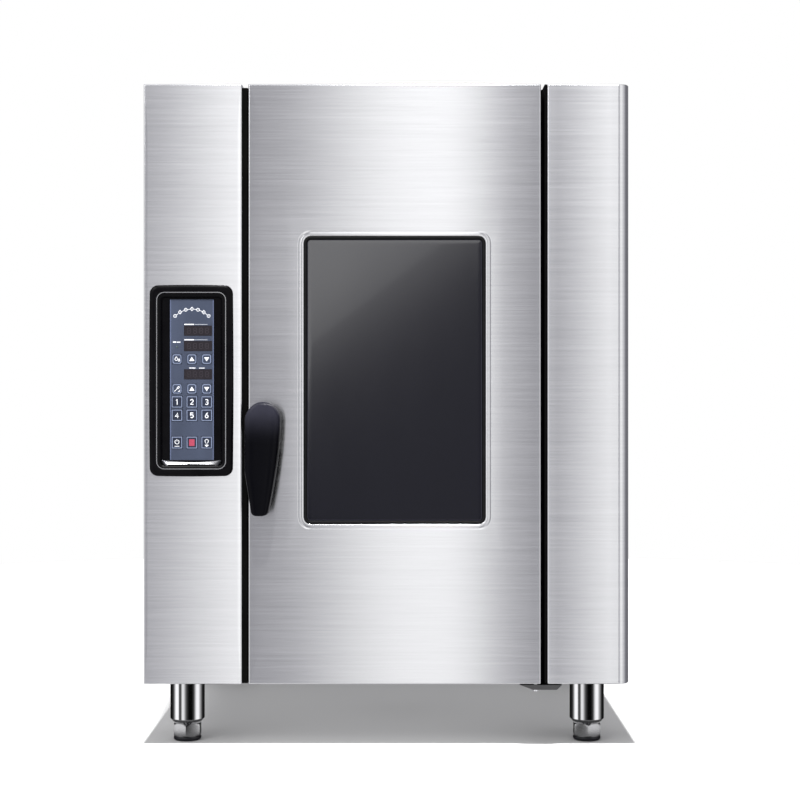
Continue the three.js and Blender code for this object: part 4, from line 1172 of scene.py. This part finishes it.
def inner_door_details():
    """A pressed frame that holds the inner glass, and screws round the inner panel."""
    panel, glass = Box("door_inner_panel"), Box("inner_glass")
    pressed = ((6.0, -0.1), (6.0, 0.8), (5.2, 1.4), (-4.0, 1.4), (-5.4, 0.9), (-5.6, 0.2), (-4.6, -0.1))
    rings = stepped(glass, 6 * MM, pressed, panel.y1, steps=6)
    Shape().loft(rings, loop=True).piece("inner_glass_frame", steel_liner, "door", "plain_sheet")
    margin = 12 * MM
    places = [(panel.x0 + panel.w * f, panel.y1, z) for f in (0.04, 0.35, 0.65, 0.96)
              for z in (panel.z0 + margin, panel.z1 - margin)]
    places += [(x, panel.y1, panel.z0 + panel.h * f) for f in (0.3, 0.5, 0.7)
               for x in (panel.x0 + margin, panel.x1 - margin)]
    screw_heads("inner_door_screws", places, "y", "door", 3.4)


# ------------------------------------------------------------------ CAD nodes that stay


def smooth_group():
    """A node group that shades smoothly but for edges sharper than the smoothing angle."""
    group = bpy.data.node_groups.new("smooth_by_angle", "GeometryNodeTree")
    group.interface.new_socket("Geometry", in_out="INPUT", socket_type="NodeSocketGeometry")
    group.interface.new_socket("Geometry", in_out="OUTPUT", socket_type="NodeSocketGeometry")
    nodes, links = group.nodes, group.links
    start, end = nodes.new("NodeGroupInput"), nodes.new("NodeGroupOutput")
    faces = nodes.new("GeometryNodeSetShadeSmooth")
    edges = nodes.new("GeometryNodeSetShadeSmooth")
    edges.domain = "EDGE"
    edges.inputs["Shade Smooth"].default_value = False
    angle = nodes.new("GeometryNodeInputMeshEdgeAngle")
    sharp = nodes.new("FunctionNodeCompare")
    sharp.operation = "GREATER_THAN"
    sharp.inputs["B"].default_value = SMOOTH_ANGLE
    links.new(start.outputs[0], faces.inputs["Geometry"])
    links.new(faces.outputs[0], edges.inputs["Geometry"])
    links.new(angle.outputs["Unsigned Angle"], sharp.inputs["A"])
    links.new(sharp.outputs[0], edges.inputs["Selection"])
    links.new(edges.outputs[0], end.inputs[0])
    return group


CAD_LOOKS = (  # part of a node's name, its material, and the radius of its edges in mm
    ("side_panel", "steel_side", 0.8),
    ("top_cover", "steel_roof", 0.8),
    ("rear_panel", "steel_sheet", 0.5),
    ("base_frame", "steel_sheet", 0.4),
    ("cavity_liner", "steel_liner", 0.5),
    ("door_gasket", "gasket_silicone", 1.2),
    ("rack_", "steel_wire", 0.8),
    ("fan_baffle", "steel_liner", 0.5),
    ("fan_wheel", "steel_sheet", 0.3),
    ("fan_motor", "dark_enamel", 0.5),
    ("heating_coil", "heater_skin", 0.3),
    ("cavity_lamp", "steel_polished", 0.5),
    ("exhaust_stack", "steel_sheet", 0.5),
    ("drain_pipe", "steel_sheet", 0.5),
    ("steam_generator", "steel_sheet", 0.8),
    ("water_inlet_valve", "brass", 0.4),
    ("cable_gland", "black_satin", 0.4),
    ("electrical_panel", "dark_enamel", 0.5),
    ("keypad_panel", "film_blue", 0.2),
    ("display_board", "dark_enamel", 0.2),
    ("door_inner_panel", "steel_liner", 0.5),
    ("inner_glass", "inner_pane", 0.6),
    ("hinge_bracket_lower", "steel_dark", 0.5),
    ("hinge_", "steel_polished", 0.5),
    ("latch_keeper", "steel_sheet", 0.4),
)


def finish_cad_nodes():
    """Gives each CAD node that stays its material, rounded edges and smooth shading."""
    group = smooth_group()
    for node, obj in frame["nodes"].items():
        if obj.hide_render:
            continue
        looks = [row for row in CAD_LOOKS if row[0] in node]
        if not looks:
            raise ValueError("no look for " + node)
        _, material, width = looks[0]
        if "custom_normal" in obj.data.attributes:
            obj.data.attributes.remove(obj.data.attributes["custom_normal"])
        obj.data.materials.clear()
        obj.data.materials.append(bpy.data.materials[material])
        obj.modifiers.new("weld", "WELD").merge_threshold = 1e-6
        flat = obj.modifiers.new("flat", "DECIMATE")
        flat.decimate_type = "DISSOLVE"
        flat.angle_limit = math.radians(1.0)
        round_edges(obj, width * MM, 2, 35)
        obj.modifiers.new("smooth", "NODES").node_group = group
        keep_flat_faces_flat(obj)


# ------------------------------------------------------------------ studio


def camera():
    """Far back and square to the front. The shift brings the whole oven into the picture."""
    data = bpy.data.cameras.new("camera")
    data.sensor_width = 36
    data.lens = 77.2  # mm, fitted to the photograph with the shift below
    data.clip_start = 0.05
    data.shift_y = -0.0242
    obj = linked("camera", data)
    obj.location = (0.0233, FRONT - 3.0, 0.650)
    obj.rotation_euler = (math.pi / 2, 0, 0)
    bpy.context.scene.camera = obj


def area_light(name, place, size, power):
    """A rectangle of light that shines straight down until it is turned."""
    data = bpy.data.lights.new(name, "AREA")
    data.shape = "RECTANGLE"
    data.size, data.size_y = size
    data.energy = power
    obj = linked(name, data)
    obj.location = place
    obj.visible_camera = False
    return obj


def stage_mesh(name, points, faces, materials, unseen=()):
    """A piece of the studio, which the named kinds of ray pass through."""
    mesh = bpy.data.meshes.new(name)
    mesh.from_pydata(points, [], faces)
    for material in materials:
        mesh.materials.append(material)
    obj = linked(name, mesh)
    for ray in unseen:
        setattr(obj, "visible_" + ray, False)
    return obj


def disc(radius, z, sides):
    return [(x, y, z) for x, y in circle(radius, sides)]


def floor():
    material, n = new_material("studio_floor")
    cloud = n.noise(1.5, 3.0, 0.5)
    n.surface({"Base Color": n.mix(cloud, (0.57, 0.57, 0.57), (0.59, 0.59, 0.59)), "Roughness": 0.9})
    stage_mesh("floor", disc(3, 0, 96), [tuple(range(96))], [material], ("glossy",))


TENT_TOP = 0.1165  # just under the body
LIGHT_ROUND = (  # azimuth in degrees, from the camera's side towards the right, and brightness
    (-180, 0.45), (-150, 0.30), (-122, 0.26), (-100, 0.28), (-84, 0.55), (-70, 0.85), (-50, 1.05),
    (-32, 1.15), (-22, 0.80), (-13, 0.42), (-8.7, 0.42), (-6.3, 0.66), (-3, 1.10), (1.7, 1.45), (4, 1.25),
    (6.7, 0.80), (9.9, 0.42), (14, 0.55), (22, 1.05), (32, 1.25), (50, 1.0), (74, 0.60), (96, 0.26),
    (125, 0.24), (150, 0.30), (180, 0.45),
)
TENT = (  # angle round a leg, from the camera's side towards the right, and brightness
    (-180, 0.75), (-162, 0.5), (-146, 0.03), (-118, 0.007), (-104, 0.022), (-93, 0.085), (-83, 0.463),
    (-74, 1.024), (-67, 1.259), (-59, 1.226), (-52, 0.607), (-46, 0.074), (-39, 0.114), (-33, 0.757),
    (-27, 0.995), (-21, 0.817),
    (-15, 0.47), (-10, 0.185), (-4, 0.066), (2, 0.023), (7, 0.006), (13, 0.002), (19, 0.002),
    (25, 0.006), (31, 0.027), (37, 0.103), (43, 0.476), (50, 0.89), (56, 1.182), (64, 1.192),
    (71, 0.975), (79, 0.515), (89, 0.272), (99, 0.062), (111, 0.01), (146, 0.03), (162, 0.5), (180, 0.75),
)


def world():
    """A pale studio. Its walls round the oven are lit in upright bands; the camera sees plain white."""
    scene_world = bpy.data.worlds.new("studio")
    bpy.context.scene.world = scene_world
    scene_world.use_nodes = True
    n = Nodes(scene_world.node_tree)
    direction = n.add("ShaderNodeTexCoord").outputs["Generated"]
    x, y, z = n.add("ShaderNodeSeparateXYZ", {0: direction}).outputs
    walls = n.by_azimuth(x, y, LIGHT_ROUND)
    overhead = n.spread(n.math("ABSOLUTE", z), 0.55, 0.9, smooth=True)
    room = n.plus(n.times(walls, n.minus(1.0, overhead)), overhead)
    seen = n.add("ShaderNodeLightPath").outputs["Is Camera Ray"]
    total = n.plus(n.times(room, n.minus(1.0, seen)), seen)
    cool = n.mix(n.spread(room, 0.35, 1.1), (0.93, 0.925, 1.0), (1.0, 1.0, 1.0))
    tint = n.mix(seen, cool, (1.0, 1.0, 1.0))
    n.show(n.add("ShaderNodeBackground", {"Color": tint, "Strength": total}), "ShaderNodeOutputWorld")


def sun(name, strength):
    """A soft sun from above the camera, a little to one side."""
    lean, side = math.radians(32), math.radians(1.6)
    data = bpy.data.lights.new(name, "SUN")
    data.energy = strength
    data.angle = math.radians(3)
    obj = linked(name, data)
    obj.rotation_euler = (lean, side, 0)
    return obj


def light_only(light, name):
    """Keeps a light to one object."""
    only = bpy.data.collections.new(name + "_only")
    only.objects.link(bpy.data.objects[name])
    light.light_linking.receiver_collection = only


def window_sheen():
    """A soft light whose mirror image lies across the window's upper left corner, on the glass alone."""
    light = area_light("window_sheen", place=(-0.42, -6.4, 1.87), size=(3.0, 1.6), power=190)
    turn = math.radians(37.4)
    along = Vector((math.cos(turn), 0, math.sin(turn)))
    facing = Vector((0, -1, 0))
    light.rotation_euler = Matrix((along, facing.cross(along), facing)).transposed().to_euler()
    light_only(light, "window_glass")


def leg_tents(shade):
    """A small tent of light round each leg, with a dark floor, which only the polished metal mirrors."""
    material, n = new_material("tent_light")
    x, y, _ = n.add("ShaderNodeSeparateXYZ", {0: n.place()}).outputs
    level = n.by_azimuth(x, y, TENT)
    n.show(n.add("ShaderNodeEmission", {"Color": (1, 1, 1, 1), "Strength": level}))
    eye = bpy.context.scene.camera.location
    radius, bottom, sides = 0.1, 0.0005, 64
    shape = Shape()
    shape.bridge(shape.ring(disc(radius, bottom, sides)), shape.ring(disc(radius, TENT_TOP, sides)))
    shape.faces.append(tuple(range(sides)))
    for name in LEG_NAMES:
        leg = Box("leg_" + name)
        obj = stage_mesh("tent_" + name, shape.points, shape.faces, [material, shade],
                         ("camera", "diffuse", "shadow", "transmission"))
        obj.data.polygons[sides].material_index = 1
        obj.location = (leg.x, leg.y, 0)
        obj.rotation_euler.z = math.atan2(eye.x - leg.x, leg.y - eye.y)


def shadow_skirt(shade):
    """A card level with the oven's underside, a little wider than it, that only widens the floor shadow."""
    x0, x1, y0, y1, z = -434 * MM, 449 * MM, FRONT, -FRONT, FASCIA.z0
    corners = [(x0, y0, z), (x1, y0, z), (x1, y1, z), (x0, y1, z)]
    unseen = ("camera", "diffuse", "glossy", "transmission")
    stage_mesh("shadow_skirt", corners, [(0, 1, 2, 3)], [shade], unseen)


def studio():
    """Pale floor, banded room, suns, key light, window sheen, leg tents and a fill under the body."""
    floor()
    world()
    sun("overhead", 3.0)
    light_only(sun("overhead_on_floor", 3.5), "floor")
    shade, n = new_material("tent_shade")
    n.surface({"Base Color": (0.10, 0.10, 0.10, 1), "Roughness": 0.9})
    leg_tents(shade)
    shadow_skirt(shade)
    key = area_light("key", place=(-2.2, -3.2, 3.0), size=(1.6, 1.6), power=60)
    towards_oven = Vector((0, 0, 0.6)) - key.location
    key.rotation_euler = towards_oven.to_track_quat("-Z", "Y").to_euler()
    window_sheen()
    under = area_light("under_fill", place=(0, 0, TENT_TOP), size=(0.82, 0.76), power=0.6)
    under.visible_glossy = False
    bpy.context.scene.view_settings.view_transform = "Standard"


door_skin()
door_edge_shade_films()
window_seal()
window_glass()
control_fascia_skin()
right_fascia_skin()
gap_shade_seals()
control_panel_frame()
bezel_sill()
keypad_prints()
displays()
key_caps()
lever()
lever_boss()
legs()
louvre_hoods()
rear_details()
flue_details()
cavity_details()
inner_door_details()
finish_cad_nodes()
camera()
studio()
